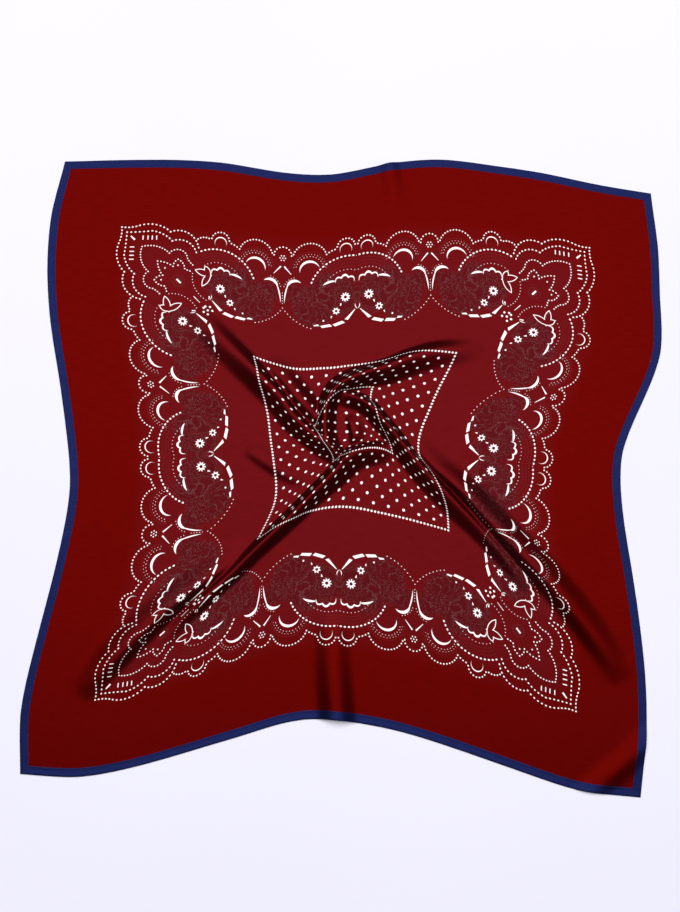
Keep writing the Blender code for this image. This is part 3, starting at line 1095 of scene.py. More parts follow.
# Where a paisley is filled with mauve: a middle, how far it reaches, and how softly it fades.
PAISLEY_BODIES = [
    (46, 246, 32, 8),
    (22, 262, 16, 8),
    (84, 258, 28, 10),
    (66, 268, 26, 10),
]
PAISLEY_STROKES = [
    Stroke(2.6, 305.2, 12.9, 293.5, 1.05, 0.3),
    Stroke(105.3, 237.4, 92.2, 222.6, 0.35, 2.15, 0.5),
    Stroke(88.2, 219.6, 74.2, 214.7, 2.15, 2.05, 0.6),
    Stroke(70, 215.2, 56, 213.3, 2.0, 1.75, 0.6),
    Stroke(52.4, 216.1, 45.2, 215.4, 1.4, 0.8, 0.6),
    Stroke(85.4, 247.8, 84.4, 244, 1.1, 0.3),
    Stroke(71.3, 229.4, 70.5, 226.4, 0.95, 0.4),
    Stroke(58.4, 222.5, 60.4, 223, 1.1, 1.1),
]
# The corner, across and up from the scarf's middle. The other half mirrors it in the diagonal.
CORNER_LINES = [
    DottedLine((348, 348), (335, 347.5), (322.6, 350.2), *RIM_DOTS),
    DottedLine((322.6, 350.2), (300, 351.4), (277.4, 340.4), *RIM_DOTS),
    DottedLine((277.4, 340.4), (254, 340.8), (234.8, 318.2), *RIM_DOTS),
    DottedLine((340, 340), (322, 340.2), (304, 341.6), *RIM_DOTS),
    DottedLine((304, 341.6), (291, 338), (274, 326.3), *RIM_DOTS),
    DottedLine((274, 326.3), (253, 326.4), (238, 310.4), *RIM_DOTS),
    DottedLine((317, 317), (297, 317.6), (277.4, 306.8), *STAR_DOTS),
    DottedLine((277.4, 306.8), (263, 313), (250.6, 299.8), *STAR_DOTS),
    DottedLine((250.6, 299.8), (247, 294.4), (242.7, 290), *STAR_DOTS),
    DottedLine((293.8, 293.8), (282, 291.6), (271.5, 286), *STAR_DOTS),
    DottedLine((271.5, 286), (269.8, 292.2), (264.3, 297.6), *STAR_DOTS),
    DottedLine((264.3, 297.6), (258, 292.7), (254.5, 283.3), *STAR_DOTS),
    DottedLine((254.5, 283.3), (251.2, 281.4), (246.6, 280), *STAR_DOTS),
    DottedLine((242.7, 276.5), (239.5, 254.5), (223, 237), *FINE_DOTS),
]
CORNER_STROKES = [
    Stroke(334, 334, 328, 328, 0.8, 1.25),
    Stroke(266, 266, 260, 260, 1.2, 1.2),
    Stroke(241, 241, 232, 232, 0.5, 0.3),
    Stroke(218, 243.5, 219, 238.5, 1.0, 0.3),
    Stroke(263.4, 287.7, 265.2, 288.3, 0.9, 0.9),
    Stroke(282.4, 282.4, 283.6, 283.6, 0.9, 0.9),
    *(Stroke(across, 328, across, 334.2, 0.68, 0.68) for across in (316.5, 309.5, 303.3, 297)),
]
# A leaf of three blades, each by its middle, its direction, half its length and half its width.
CORNER_LEAF = [
    (220.5, 282.5, 63, 8.2, 4.0),
    (226.5, 279.3, 15, 12.6, 4.7),
    (222.2, 269.3, -60, 12.6, 4.3),
]
# The wavy crescent in a paisley's belly, its two flowers, the rosettes and the curling lines.
BELLY_CRESCENT = {"cx": 91.5, "cy": 270.0, "radius": 16.8, "middle": math.radians(89),
                  "half": math.radians(58), "waves": 5.0, "depth": 3.2, "width": 1.5}
LARGE_FLOWER = {"cx": FLOWER[0] - TAILS, "cy": FLOWER[1], "petals": 10.0, "reach": 7.2,
                "slim": 1.15, "eye": 2.4, "turned": 0.2}
SMALL_FLOWER = {"cx": 78.1, "cy": 236.8, "petals": 7.0, "reach": 5.7, "slim": 1.2, "eye": 2.1,
                "turned": 0.3}
SMALL_ROSETTE = {"cx": 0.0, "cy": ROSETTE, "ring": 4.0, "size": 0.9}
LARGE_ROSETTE = {"cx": CORNER_ROSETTE, "cy": CORNER_ROSETTE, "ring": 6.8, "size": 1.55}
CORNER_RINGS = Rings(ELLIPSE, ELLIPSE, 12.0, 4.2)
CURLS = {"gap": 13.0, "thin": 0.15}


class Print:
    """The printed pattern, drawn on the flat square, with the same eighth of it all round."""

    FRAME_BEAD = 1.5
    LATTICE_DOT = 1.9
    FINE_INK = 0.6  # how strong the finely dotted lines' ink is
    FAINT_INK = 0.022  # how strong the stippled lines' ink is
    HAZE_INK = 0.35  # how strong the mauve filling of the paisleys is
    LEAF_LINE = 0.55  # half the width of the line round a corner's leaf
    OUTER_BEADS = 30.5  # beads along half a side of the outer frame
    INNER_BEADS = 13
    INNER_CLEAR = 5.0  # how far the dots keep from the inner frame
    OUTER_CLEAR = 6.0
    MIDDLE_EDGE = 355.0  # where the ground starts to turn into the middle's red
    MIDDLE_FADE = 50  # and over what distance it does

    def __init__(self, sheet: Formula, motifs: Motifs, across: Ink, up: Ink) -> None:
        """Folds the square into its eighth.

        Args:
            sheet: the material's tree.
            motifs: the printed shapes.
            across: millimetres across from the scarf's middle.
            up: millimetres up from the scarf's middle.
        """
        self.sheet, self.motifs = sheet, motifs
        self.near = sheet.least(abs(across), abs(up))
        self.far = sheet.most(abs(across), abs(up))
        self.from_tails = abs(self.near - TAILS)

    def lines(self, rows: Iterable[DottedLine], x: Ink) -> list[Ink]:
        """Draws dotted lines.

        Args:
            rows: the lines.
            x: the place in the print, across.

        Returns:
            The ink of each.
        """
        group = self.motifs.dotted_line
        return [self.sheet.place(group, x=x, y=self.far, **row.values()) for row in rows]

    def strokes(self, rows: Iterable[Stroke], x: Ink) -> list[Ink]:
        """Draws strokes.

        Args:
            rows: the strokes.
            x: the place in the print, across.

        Returns:
            The ink of each.
        """
        return [
            self.sheet.place(self.motifs.stroke, x=x, y=self.far, **vars(row)) for row in rows
        ]

    def paisley(self) -> list[Ink]:
        """Draws a paisley.

        Returns:
            The white ink of each of its motifs.
        """
        x, y = self.from_tails, self.far
        place, motifs = self.sheet.place, self.motifs
        return [
            *self.lines(PAISLEY_LINES, x),
            self.joined(self.lines(PAISLEY_FINE_LINES, x)) * self.FINE_INK,
            *self.strokes(PAISLEY_STROKES, x),
            *(place(motifs.crescent, x=x, y=y, **lune.values()) for lune in PAISLEY_LUNES),
            place(motifs.wavy_crescent, x=x, y=y, **BELLY_CRESCENT),
            place(motifs.flower, x=x, y=y, **LARGE_FLOWER),
            place(motifs.flower, x=x, y=y, **SMALL_FLOWER),
            place(motifs.rosette, x=x, y=y, **SMALL_ROSETTE),
        ]

    def corner(self) -> list[Ink]:
        """Draws a corner.

        Returns:
            The white ink of each of its motifs.
        """
        x, y = self.near, self.far
        place, motifs = self.sheet.place, self.motifs
        blades = [
            place(motifs.leaf, x=x, y=y, cx=cx, cy=cy, turned=math.radians(turned), half=half,
                  belly=belly)
            for cx, cy, turned, half, belly in CORNER_LEAF
        ]
        return [
            *self.lines(CORNER_LINES, x),
            *self.strokes(CORNER_STROKES, x),
            self.sheet.cover(self.LEAF_LINE - abs(self.joined(blades))),
            place(motifs.rosette, x=x, y=y, **LARGE_ROSETTE),
        ]

    def faint(self) -> list[Ink]:
        """Draws the faint fine lines between the white motifs.

        Returns:
            The ink of each.
        """
        x, y = self.from_tails, self.far
        place, motifs = self.sheet.place, self.motifs
        return [
            *self.lines(PAISLEY_FAINT_LINES, x),
            self.bodies() * place(motifs.scrolls, x=x, y=y, **CURLS),
            place(motifs.dotted_rings, x=self.near, y=y, **vars(CORNER_RINGS)),
        ]

    def bodies(self) -> Ink:
        """Fills the paisleys.

        Returns:
            1 where the mauve filling is, and less where it fades.
        """
        x, y, sheet = self.from_tails, self.far, self.sheet
        return self.joined(
            sheet.calc("MULTIPLY_ADD", reach - sheet.length(x - cx, y - cy), 1 / soft, 0.5,
                       clamp=True)
            for cx, cy, reach, soft in PAISLEY_BODIES
        )

    def frames(self) -> list[Ink]:
        """Draws the two beaded frames and the dots within them.

        Returns:
            The white ink of each.
        """
        sheet, x, y = self.sheet, self.near, self.far
        bead = OUTER_FRAME / self.OUTER_BEADS
        outer = (sheet.calc("FLOOR", x / bead) + 0.5) * bead
        inner_bead = INNER_FRAME / self.INNER_BEADS
        inner = sheet.calc("ROUND", x / inner_bead) * inner_bead
        half = DOT_PITCH / 2
        column = sheet.calc("ROUND", x / half)
        row = sheet.calc("ROUND", y / half)
        lattice = sheet.cover(self.LATTICE_DOT - sheet.length(x - column * half, y - row * half))
        odd = sheet.calc("MODULO", column + row, 2.0)
        beside = sheet.cover(abs(y - INNER_FRAME) - self.INNER_CLEAR)
        clear = beside * sheet.cover(OUTER_FRAME - self.OUTER_CLEAR - y)
        return [
            sheet.cover(self.FRAME_BEAD - sheet.length(x - outer, y - OUTER_FRAME)),
            sheet.cover(self.FRAME_BEAD - sheet.length(x - inner, y - INNER_FRAME)),
            lattice * odd * clear,
        ]

    def joined(self, inks: Iterable[Ink]) -> Ink:
        """Joins inks into one.

        Args:
            inks: the inks.

        Returns:
            The strongest of them everywhere.
        """
        first, *others = inks
        for ink in others:
            first = self.sheet.most(first, ink)
        return first

    def draw(self) -> tuple[Ink, Ink, Ink]:
        """Draws the whole print.

        Returns:
            The white ink, the mauve filling, and where the ground is the middle's red.
        """
        faint = self.joined(self.faint()) * self.FAINT_INK
        white = self.joined([*self.frames(), *self.paisley(), *self.corner(), faint])
        inward = self.MIDDLE_EDGE - self.far
        middle = self.sheet.calc("MULTIPLY_ADD", inward, 1 / self.MIDDLE_FADE, 0.0, clamp=True)
        return white, self.bodies() * self.HAZE_INK, middle


TIE_EVERY = 5.0  # threads between the places where a float is tied down
TIE_SHIFT = 2.0  # threads by which the next row's ties are shifted
TIE_SOFTNESS = 0.3
SLUBS_UP = 0.9  # how closely the streaks lie, to a millimetre up
SLUB_SCALE = 0.5
SLUB_DETAIL = 3.0


def weave_shape(sheet: Formula, across: Ink, up: Ink, threads: Ink) -> Ink:
    """Draws a satin weave: long floats, each tied down once in five threads.

    Args:
        sheet: the tree that it is drawn in.
        across: millimetres across from the scarf's middle.
        up: millimetres up from it.
        threads: threads to a millimetre.

    Returns:
        Its height.
    """
    column, row = across * threads, up * threads
    shift = sheet.calc("FLOOR", row) * (TIE_SHIFT / TIE_EVERY)
    floats = sheet.calc("FRACT", column * (1 / TIE_EVERY) + shift)
    crown = abs(sheet.calc("SINE", row * math.pi))
    return crown * sheet.calc("SMOOTH_MIN", floats * TIE_EVERY, 1.0, TIE_SOFTNESS)


def slub_shape(sheet: Formula, across: Ink, up: Ink, length: Ink) -> Ink:
    """Draws soft streaks along the threads.

    Args:
        sheet: the tree that they are drawn in.
        across: millimetres across from the scarf's middle.
        up: millimetres up from it.
        length: how long the streaks are.

    Returns:
        Their tone, about 0.5 all over.
    """
    joined = sheet.add("ShaderNodeCombineXYZ")
    sheet.plug(joined.inputs["X"], across / length)
    sheet.plug(joined.inputs["Y"], up * SLUBS_UP)
    noise = sheet.add("ShaderNodeTexNoise", noise_dimensions="2D")
    sheet.plug(noise.inputs["Vector"], joined.outputs[0])
    noise.inputs["Scale"].default_value = SLUB_SCALE
    noise.inputs["Detail"].default_value = SLUB_DETAIL
    return Ink(sheet, noise.outputs["Fac"])


class Weaves:
    """The effects that both silks share."""

    def __init__(self) -> None:
        """Builds the groups."""
        self.satin = group_of("satin_weave", ("Across", "Up", "Threads"), "Height", weave_shape)
        self.slubs = group_of("silk_slubs", ("Across", "Up", "Length"), "Tone", slub_shape)


@dataclass(frozen=True)
class Satin:
    """A silk satin.

    Attributes:
        name: the material's name.
        ground: its colour.
        roughness: how much its sheen spreads.
        metallic: the share of the light that its threads send back in their own colour.
        threads: threads to a millimetre.
        specular: the shader's specular level.
        slub_length: how long the streaks along its threads are.
        slub_sheen: how much its roughness changes with them.
        relief: the strength of the weave's bump.
        weave_depth: its depth, in millimetres.
    """

    name: str
    ground: Colour
    roughness: float = 0.42
    metallic: float = 0.8
    threads: float = 2.6
    specular: float = 0.02
    slub_length: float = 9.0
    slub_sheen: float = 0.08
    relief: float = 0.12
    weave_depth: float = 0.05

    def start(self) -> tuple[bpy.types.Material, Formula, bpy.types.Node, Ink, Ink]:
        """Starts the material.

        Returns:
            The material, its tree, its shader and the place on the flat square.
        """
        material = bpy.data.materials.new(self.name)
        material.use_nodes = True
        sheet = Formula(material.node_tree)
        shader = material.node_tree.nodes["Principled BSDF"]
        shader.inputs["Roughness"].default_value = self.roughness
        shader.inputs["Metallic"].default_value = self.metallic
        shader.inputs["Specular IOR Level"].default_value = self.specular
        place = sheet.add("ShaderNodeUVMap", uv_map=CLOTH_MAP)
        parts = sheet.add("ShaderNodeSeparateXYZ")
        sheet.plug(parts.inputs[0], place.outputs[0])
        across, up = ((Ink(sheet, parts.outputs[axis]) - 0.5) * SIDE for axis in "XY")
        return material, sheet, shader, across, up

    def finish(self, sheet: Formula, shader: bpy.types.Node, weaves: Weaves, across: Ink,
               up: Ink) -> Ink:
        """Adds the weave and the slubs to the shader.

        Args:
            sheet: the material's tree.
            shader: its shader.
            weaves: the shared effects.
            across: millimetres across from the scarf's middle.
            up: millimetres up from it.

        Returns:
            The tone of the slubs.
        """
        tone = sheet.place(weaves.slubs, across=across, up=up, length=self.slub_length)
        height = sheet.place(weaves.satin, across=across, up=up, threads=self.threads)
        bump = sheet.add("ShaderNodeBump")
        bump.inputs["Strength"].default_value = self.relief
        bump.inputs["Distance"].default_value = self.weave_depth * MM
        sheet.plug(bump.inputs["Height"], height)
        sheet.plug(shader.inputs["Normal"], bump.outputs[0])
        least = self.roughness - self.slub_sheen / 2
        sheet.plug(shader.inputs["Roughness"], least + tone * self.slub_sheen)
        return tone

    def mixed(self, sheet: Formula, share: Value, first: Any, second: Any,
              blend: str = "MIX") -> bpy.types.NodeSocket:
        """Mixes two colours.

        Args:
            sheet: the material's tree.
            share: how much of the second colour there is.
            first: a colour, or the socket that it comes from.
            second: the other colour.
            blend: how the second is laid on the first.

        Returns:
            The socket that the mixed colour comes from.
        """
        first_colour, second_colour, mixed_colour = 6, 7, 2  # the node's sockets for colours
        mix = sheet.add("ShaderNodeMix", data_type="RGBA", blend_type=blend)
        sheet.plug(mix.inputs["Factor"], share)
        sheet.plug(mix.inputs[first_colour], first)
        sheet.plug(mix.inputs[second_colour], second)
        return mix.outputs[mixed_colour]


@dataclass(frozen=True)
class PrintedSatin(Satin):
    """The red silk with its print.

    Attributes:
        middle: the ground's colour within the border.
        white: the colour of the white ink.
        mauve: the colour of the paisleys' filling.
    """

    middle: Colour = (0.070, 0.0024, 0.0034, 1)
    white: Colour = (0.88, 0.80, 0.80, 1)
    mauve: Colour = (0.017, 0.0032, 0.0052, 1)

    def build(self, weaves: Weaves, motifs: Motifs) -> bpy.types.Material:
        """Builds the printed silk.

        Args:
            weaves: the effects that both silks share.
            motifs: the printed shapes.

        Returns:
            The material.
        """
        material, sheet, shader, across, up = self.start()
        white, mauve, middle = Print(sheet, motifs, across, up).draw()
        tone = self.finish(sheet, shader, weaves, across, up)
        ground = self.mixed(sheet, middle, self.ground, self.middle)
        ground = self.mixed(sheet, 0.35 * tone, ground, (0.6, 0.55, 0.55, 1), "MULTIPLY")
        faint = self.mixed(sheet, mauve, ground, self.mauve)
        sheet.plug(shader.inputs["Base Color"], self.mixed(sheet, white, faint, self.white))
        sheet.plug(shader.inputs["Metallic"], (1.0 - white * 0.9) * self.metallic)
        return material


@dataclass(frozen=True)
class PlainSatin(Satin):
    """A silk in one colour."""

    def build(self, weaves: Weaves) -> bpy.types.Material:
        """Builds the plain silk.

        Args:
            weaves: the effects that both silks share.

        Returns:
            The material.
        """
        material, sheet, shader, across, up = self.start()
        tone = self.finish(sheet, shader, weaves, across, up)
        ground = self.mixed(sheet, 0.5 * tone, self.ground, (0.5, 0.5, 0.55, 1), "MULTIPLY")
        sheet.plug(shader.inputs["Base Color"], ground)
        return material


@dataclass(frozen=True)
class Thread:
    """The sewing thread of the hem."""

    name: str = "hem_thread"
    colour: Colour = (0.006, 0.008, 0.055, 1)

    def build(self) -> bpy.types.Material:
        """Builds the thread's finish: its colour in diagonal bands of painted shade and painted
        highlight, which stand in for the twist of its strands.

        Returns:
            The material.
        """
        material = bpy.data.materials.new(self.name)
        material.use_nodes = True
        sheet = Formula(material.node_tree)
        shader = material.node_tree.nodes["Principled BSDF"]
        shader.inputs["Roughness"].default_value = 0.55
        shader.inputs["Specular IOR Level"].default_value = 0.3
        place = sheet.add("ShaderNodeTexCoord")
        # diagonal bands of painted shade and highlight along the thread, in place of the light on its
        # twisted strands
        twist_shading = sheet.add("ShaderNodeTexWave", bands_direction="DIAGONAL")
        twist_shading.inputs["Scale"].default_value = 900.0
        sheet.plug(twist_shading.inputs["Vector"], place.outputs["Object"])
        # the bands run from a shaded copy to a lit copy of the thread's own colour: painted shade and
        # painted highlight
        ramp = sheet.add("ShaderNodeValToRGB")
        ramp.color_ramp.elements[0].color = tuple(0.6 * part for part in self.colour[:3]) + (1,)
        ramp.color_ramp.elements[1].color = tuple(1.5 * part for part in self.colour[:3]) + (1,)
        sheet.plug(ramp.inputs[0], twist_shading.outputs["Fac"])
        sheet.plug(shader.inputs["Base Color"], ramp.outputs[0])
        return material


def mesh_piece(name: str, verts: np.ndarray, faces: Sequence[Sequence[int]],
               maps: np.ndarray, material: bpy.types.Material) -> bpy.types.Object:
    """Makes a piece from its vertices, in millimetres.

    Args:
        name: the piece's name.
        verts: x, y and z of each vertex.
        faces: the vertices of each face.
        maps: each vertex's place on the flat square, in millimetres.
        material: its finish.

    Returns:
        The piece, shaded smooth, with its places on the flat square as a UV map.
    """
    mesh = bpy.data.meshes.new(name)
    mesh.from_pydata((np.asarray(verts) * MM).tolist(), [], faces)
    layer = mesh.uv_layers.new(name=CLOTH_MAP)
    corners = np.empty(len(mesh.loops), int)
    mesh.loops.foreach_get("vertex_index", corners)
    layer.data.foreach_set("uv", (maps[corners] / SIDE + 0.5).ravel())
    mesh.materials.append(material)
    mesh.shade_smooth()
    piece = bpy.data.objects.new(name, mesh)
    bpy.context.scene.collection.objects.link(piece)
    return piece


def grid_faces(columns: int, rows: int) -> list[tuple[int, int, int, int]]:
    """Joins a grid whose vertices run row by row, columns + 1 to a row.

    Args:
        columns: how many faces a row has.
        rows: how many rows of faces there are.

    Returns:
        The vertices of each face.
    """
    wide = columns + 1
    starts = (row * wide + column for row in range(rows) for column in range(columns))
    return [(start, start + 1, start + 1 + wide, start + wide) for start in starts]


def thicken(piece: bpy.types.Object, thickness: float) -> None:
    """Gives an open piece its wall, downwards from its upper side, and applies it.

    Args:
        piece: the piece.
        thickness: the wall's, in millimetres.
    """
    wall = piece.modifiers.new("wall", "SOLIDIFY")
    wall.thickness, wall.offset = thickness * MM, -1.0
    whole = bpy.data.meshes.new_from_object(
        piece.evaluated_get(bpy.context.evaluated_depsgraph_get())
    )
    piece.modifiers.clear()
    piece.data = whole
    whole.set_sharp_from_angle(angle=SHARP_EDGE)


@dataclass
class SilkPanel:
    """The square of printed silk, up to the hem.

    Attributes:
        cells: cells along each side of its net.
        crowding: the cell size in the middle, where the folds are, against an even net's.
        thickness: the cloth's.
    """

    cells: int = 220
    crowding: float = 0.6
    thickness: float = 0.4

    def build(self, cloth: LaidCloth, material: bpy.types.Material) -> bpy.types.Object:
        """Builds the panel.

        Args:
            cloth: the form in which it lies.
            material: the printed silk.

        Returns:
            The piece.
        """
        even = np.linspace(-1, 1, self.cells + 1)
        stations = (SIDE / 2 - HEM_WIDTH) * (self.crowding * even + (1 - self.crowding) * even ** 3)
        across, up = np.meshgrid(stations, stations)
        flat = np.column_stack([across.ravel(), up.ravel()])
        laid = cloth.lay(flat) + (0, 0, self.thickness)
        piece = mesh_piece("silk_panel", laid, grid_faces(self.cells, self.cells), flat, material)
        thicken(piece, self.thickness)
        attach(piece, "root")
        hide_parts("panel")
        return piece


@dataclass
class TurnedHem:
    """The turned hem along one side, with its row of stitches.

    Attributes:
        side: the side that it runs along.
        cells: cells along it.
        profile: across the hem from its seam, the distance and the height of its upper side.
        pucker: how high the stitching gathers it.
        stitch: a stitch's length and the gap after it.
        stitch_row: the stitches' distance from the seam.
        thread: the thread's radius.
        thickness: the thickness of the band's cloth.
        waves: the puckers, each wave by its length, its shift and its weight.
        waves_share: what the sum of the waves is divided by.
        side_shift: how far the waves of one side are shifted for each letter of its name.
        stitch_lift: how high a stitch's ends lie over the cloth's underside.
        stitch_arch: how much higher its middle lies.
        stitch_tip: the thread's radius at a stitch's ends, against its middle's.
        sections: rings of vertices along a stitch.
        ring: vertices in each.
    """

    side: Side
    cells: int = 360
    profile: Sequence[Point] = ((0.0, 0.55), (0.8, 0.75), (2.0, 0.62), (5.0, 0.85), (8.5, 1.25),
                                (10.3, 1.5), (11.4, 1.35), (11.9, 0.95), (12.0, 0.45))
    pucker: float = 0.35
    stitch: Point = (2.3, 0.9)
    stitch_row: float = 1.6
    thread: float = 0.16
    thickness: float = 0.45
    waves: Sequence[Point3] = ((5.1, 0.0, 1.0), (7.7, 1.3, 1.0), (3.3, 0.6, 1.0), (17.3, 0.0, 1.4))
    waves_share: float = 4.4
    side_shift: float = 37.0
    stitch_lift: float = 0.62
    stitch_arch: float = 0.2
    stitch_tip: float = 0.45
    sections: int = 5
    ring: int = 6

    def along(self, share: np.ndarray, out: np.ndarray) -> np.ndarray:
        """Finds places on the flat square beside this side.

        Args:
            share: the share of the side, from its start.
            out: how far out from the scarf's middle.

        Returns:
            The places.
        """
        start, end = np.array(self.side.start, float), np.array(self.side.end, float)
        middle, half = (start + end) / 2, (end - start) / 2
        return (middle + half * (2 * share[:, None] - 1)) * out[:, None]

    def gather(self, share: np.ndarray, across: np.ndarray) -> np.ndarray:
        """Puckers the hem, from not at all at the seam to fully at the edge.

        Args:
            share: the share of the side, from its start.
            across: the distance out from the seam.

        Returns:
            The puckers' height.
        """
        place = share * SIDE + self.side_shift * len(self.side.label)
        swings = (weight * np.sin(place / length + shift) for length, shift, weight in self.waves)
        wave = sum(swings) / self.waves_share
        return self.pucker * np.maximum(wave, 0) * np.clip(across / HEM_WIDTH, 0, 1)

    def band(self, cloth: LaidCloth, material: bpy.types.Material) -> bpy.types.Object:
        """Builds the band of cloth.

        Args:
            cloth: the form in which the scarf lies.
            material: the hem's silk.

        Returns:
            The piece.
        """
        share = np.linspace(0, 1, self.cells + 1)
        across, height = np.array(self.profile).T
        wide, tall = len(share), len(across)
        shares, acrosses = np.tile(share, tall), np.repeat(across, wide)
        flat = self.along(shares, SIDE / 2 - HEM_WIDTH + acrosses)
        laid = cloth.lay(flat)
        laid[:, 2] += np.repeat(height, wide) + self.gather(shares, acrosses)
        faces = [face[::-1] for face in grid_faces(wide - 1, tall - 1)]
        piece = mesh_piece(f"turned_hem_{self.side.label}", laid, faces, flat, material)
        if sum(face.normal.z for face in piece.data.polygons) < 0:
            piece.data.flip_normals()
        thicken(piece, self.thickness)
        return piece

    def stitches(self, cloth: LaidCloth, material: bpy.types.Material) -> bpy.types.Object:
        """Builds the row of stitches, each a short arched thread.

        Args:
            cloth: the form in which the scarf lies.
            material: the thread.

        Returns:
            The piece.
        """
        pitch = sum(self.stitch)
        run = SIDE - 2 * HEM_WIDTH
        count = int(run / pitch)
        sections, ring = self.sections, self.ring
        steps = np.linspace(0, 1, sections)
        starts = HEM_WIDTH + (run - count * pitch) / 2 + pitch * np.arange(count)
        share = (starts[:, None] + steps * self.stitch[0]).ravel() / SIDE
        out = np.full(len(share), SIDE / 2 - HEM_WIDTH + self.stitch_row)
        flat = self.along(share, out)
        centre = cloth.lay(flat)
        arch = np.tile(np.sin(steps * math.pi), count)
        puckers = self.gather(share, np.full(len(share), self.stitch_row))
        centre[:, 2] += self.stitch_lift + self.stitch_arch * arch + puckers
        ahead = np.gradient(centre.reshape(count, sections, 3), axis=1).reshape(-1, 3)
        ahead /= np.linalg.norm(ahead, axis=1)[:, None]
        level = np.cross(ahead, (0, 0, 1))
        level /= np.linalg.norm(level, axis=1)[:, None]
        upward = np.cross(level, ahead)
        swell = self.stitch_tip + (1 - self.stitch_tip) * arch
        radius = (self.thread * swell)[:, None, None]
        angle = np.linspace(0, 2 * math.pi, ring, endpoint=False)[None, :, None]
        tube = radius * (np.cos(angle) * level[:, None] + np.sin(angle) * upward[:, None])
        verts = (centre[:, None] + tube).reshape(-1, 3)
        faces = []
        for first in range(0, len(verts), sections * ring):
            faces.append([first + spot for spot in reversed(range(ring))])
            faces.append([first + (sections - 1) * ring + spot for spot in range(ring)])
            for section in range(sections - 1):
                low = first + section * ring
                for spot in range(ring):
                    after = (spot + 1) % ring
                    faces.append([low + spot, low + after, low + ring + after, low + ring + spot])
        maps = np.repeat(flat, ring, axis=0)
        return mesh_piece(f"hem_stitches_{self.side.label}", verts, faces, maps, material)

    def build(self, cloth: LaidCloth, silk: bpy.types.Material,
              thread: bpy.types.Material) -> list[bpy.types.Object]:
        """Builds the hem.

        Args:
            cloth: the form in which it lies.
            silk: the hem's silk.
            thread: the stitches' thread.

        Returns:
            The band and its stitches.
        """
        pieces = [self.band(cloth, silk), self.stitches(cloth, thread)]
        for piece in pieces:
            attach(piece, "root")
        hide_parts(f"hem_{self.side.label}")
        return pieces


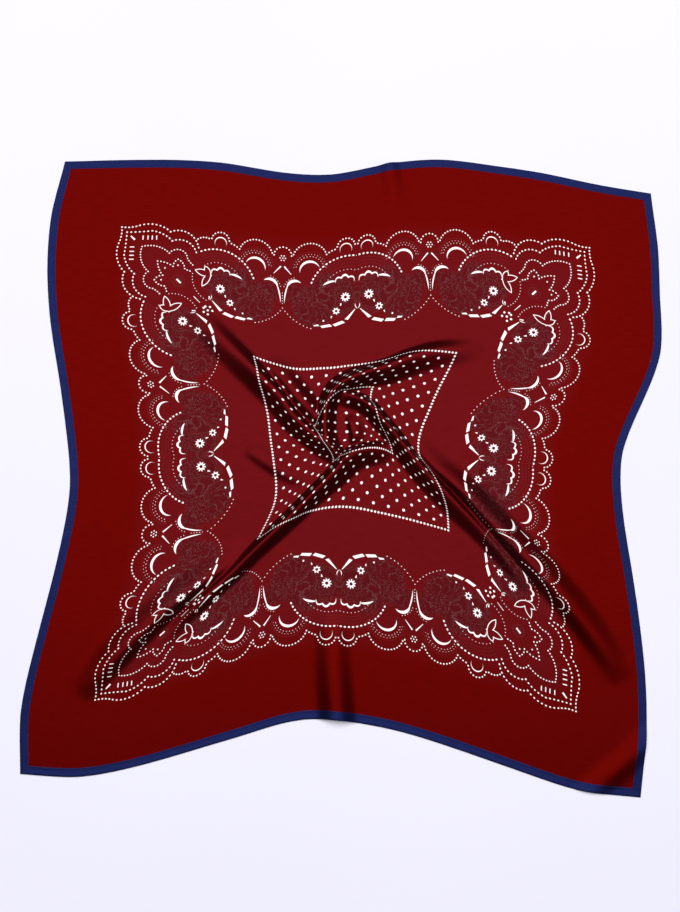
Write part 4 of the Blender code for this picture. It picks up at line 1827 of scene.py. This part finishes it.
@dataclass
class Studio:
    """A pale floor under a broad soft lamp, and the camera.

    Attributes:
        floor_drop: how far the floor lies under the scarf, in metres.
        aim: the point that the camera looks at, in metres.
        distance: the camera's distance from it, in metres.
        tilt: how far the camera leans from straight above, towards the scarf's lower side.
        lens: the camera's lens, in millimetres.
        floor_size: half a side of the floor, in metres.
        paper: the two tones of the floor.
        lamp_place: where the lamp hangs, in metres.
        lamp_size: its sides, in metres.
        lamp_power: its power, in watts.
        room: the colour of the light from all round.
        room_light: its strength.
    """

    floor_drop: float = 0.0004
    aim: Point3 = (-0.01156, 0.01615, 0.0)
    distance: float = 1.839
    tilt: float = math.radians(8.2)
    lens: float = 50.0
    floor_size: float = 4.0
    paper: tuple[Colour, Colour] = ((0.71, 0.70, 0.80, 1), (0.75, 0.735, 0.84, 1))
    lamp_place: Point3 = (0.0, 1.5, 5.0)
    lamp_size: Point = (8.0, 5.6)
    lamp_power: float = 525.0
    room: Colour = (0.95, 0.96, 1.0, 1)
    room_light: float = 0.1

    def floor(self) -> bpy.types.Object:
        """Builds the floor.

        Returns:
            The floor.
        """
        mesh = bpy.data.meshes.new("floor")
        bm = bmesh.new()
        bmesh.ops.create_grid(bm, x_segments=1, y_segments=1, size=self.floor_size)
        bm.to_mesh(mesh)
        bm.free()
        floor = bpy.data.objects.new("floor", mesh)
        floor.location.z = -self.floor_drop
        bpy.context.scene.collection.objects.link(floor)
        paper = bpy.data.materials.new("pale_paper")
        paper.use_nodes = True
        sheet = Formula(paper.node_tree)
        shader = paper.node_tree.nodes["Principled BSDF"]
        shader.inputs["Roughness"].default_value = 0.9
        shader.inputs["Specular IOR Level"].default_value = 0.1
        place = sheet.add("ShaderNodeTexCoord")
        noise = sheet.add("ShaderNodeTexNoise")
        noise.inputs["Scale"].default_value = 1.4
        noise.inputs["Detail"].default_value = 1.0
        sheet.plug(noise.inputs["Vector"], place.outputs["Object"])
        ramp = sheet.add("ShaderNodeValToRGB")
        for element, tone in zip(ramp.color_ramp.elements, self.paper):
            element.color = tone
        sheet.plug(ramp.inputs[0], noise.outputs["Fac"])
        sheet.plug(shader.inputs["Base Color"], ramp.outputs[0])
        mesh.materials.append(paper)
        floor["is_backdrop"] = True
        return floor

    def lamp(self, name: str, place: Point3, size: Point, power: float) -> bpy.types.Object:
        """Builds a rectangular soft lamp that faces the scarf.

        Args:
            name: the lamp's name.
            place: where it hangs, in metres.
            size: its sides, in metres.
            power: its power, in watts.

        Returns:
            The lamp.
        """
        data = bpy.data.lights.new(name, "AREA")
        data.shape, data.energy = "RECTANGLE", power
        data.size, data.size_y = size
        lamp = bpy.data.objects.new(name, data)
        lamp.location = place
        lamp.rotation_mode = "QUATERNION"
        lamp.rotation_quaternion = (-Vector(place)).to_track_quat("-Z", "Y")
        bpy.context.scene.collection.objects.link(lamp)
        return lamp

    def camera(self) -> bpy.types.Object:
        """Builds the camera.

        Returns:
            The camera.
        """
        data = bpy.data.cameras.new("camera")
        data.lens = self.lens
        camera = bpy.data.objects.new("camera", data)
        back = Vector((0.0, -math.sin(self.tilt), math.cos(self.tilt)))
        camera.location = Vector(self.aim) + back * self.distance
        camera.rotation_euler = (self.tilt, 0.0, 0.0)
        bpy.context.scene.collection.objects.link(camera)
        bpy.context.scene.camera = camera
        return camera

    def build(self) -> None:
        """Builds the floor, the light and the camera."""
        self.floor()
        self.lamp("softbox", self.lamp_place, self.lamp_size, self.lamp_power)
        world = bpy.data.worlds.new("room")
        world.use_nodes = True
        background = world.node_tree.nodes["Background"]
        background.inputs["Color"].default_value = self.room
        background.inputs["Strength"].default_value = self.room_light
        bpy.context.scene.world = world
        bpy.context.scene.view_settings.view_transform = "Standard"
        self.camera()


def corners(box: Iterable[Iterable[float]]) -> list[list[float]]:
    """Returns a box's two corners as plain lists."""
    return [[float(part) for part in corner] for corner in box]


def report(pieces: Iterable[bpy.types.Object]) -> None:
    """Logs each piece with its number of faces."""
    for piece in pieces:
        LOG.info("%s: %d faces", piece.name, len(piece.data.polygons))


def main() -> None:
    """Builds the scarf and its studio."""
    logging.basicConfig(level=logging.INFO, format="%(name)s: %(message)s")
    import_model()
    solid_box = corners(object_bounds())
    weaves, cloth = Weaves(), LaidCloth()
    red = PrintedSatin("printed_silk", RED).build(weaves, Motifs())
    navy = PlainSatin("navy_silk", NAVY).build(weaves)
    thread = Thread().build()
    panel = SilkPanel().build(cloth, red)
    report([panel])
    trims = []
    for side in Side:
        hem = TurnedHem(side).build(cloth, navy, thread)
        report(hem)
        trims += hem
    Studio().build()
    {"cad": solid_box, "visual": corners(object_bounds())}


if __name__ == "__main__":
    main()
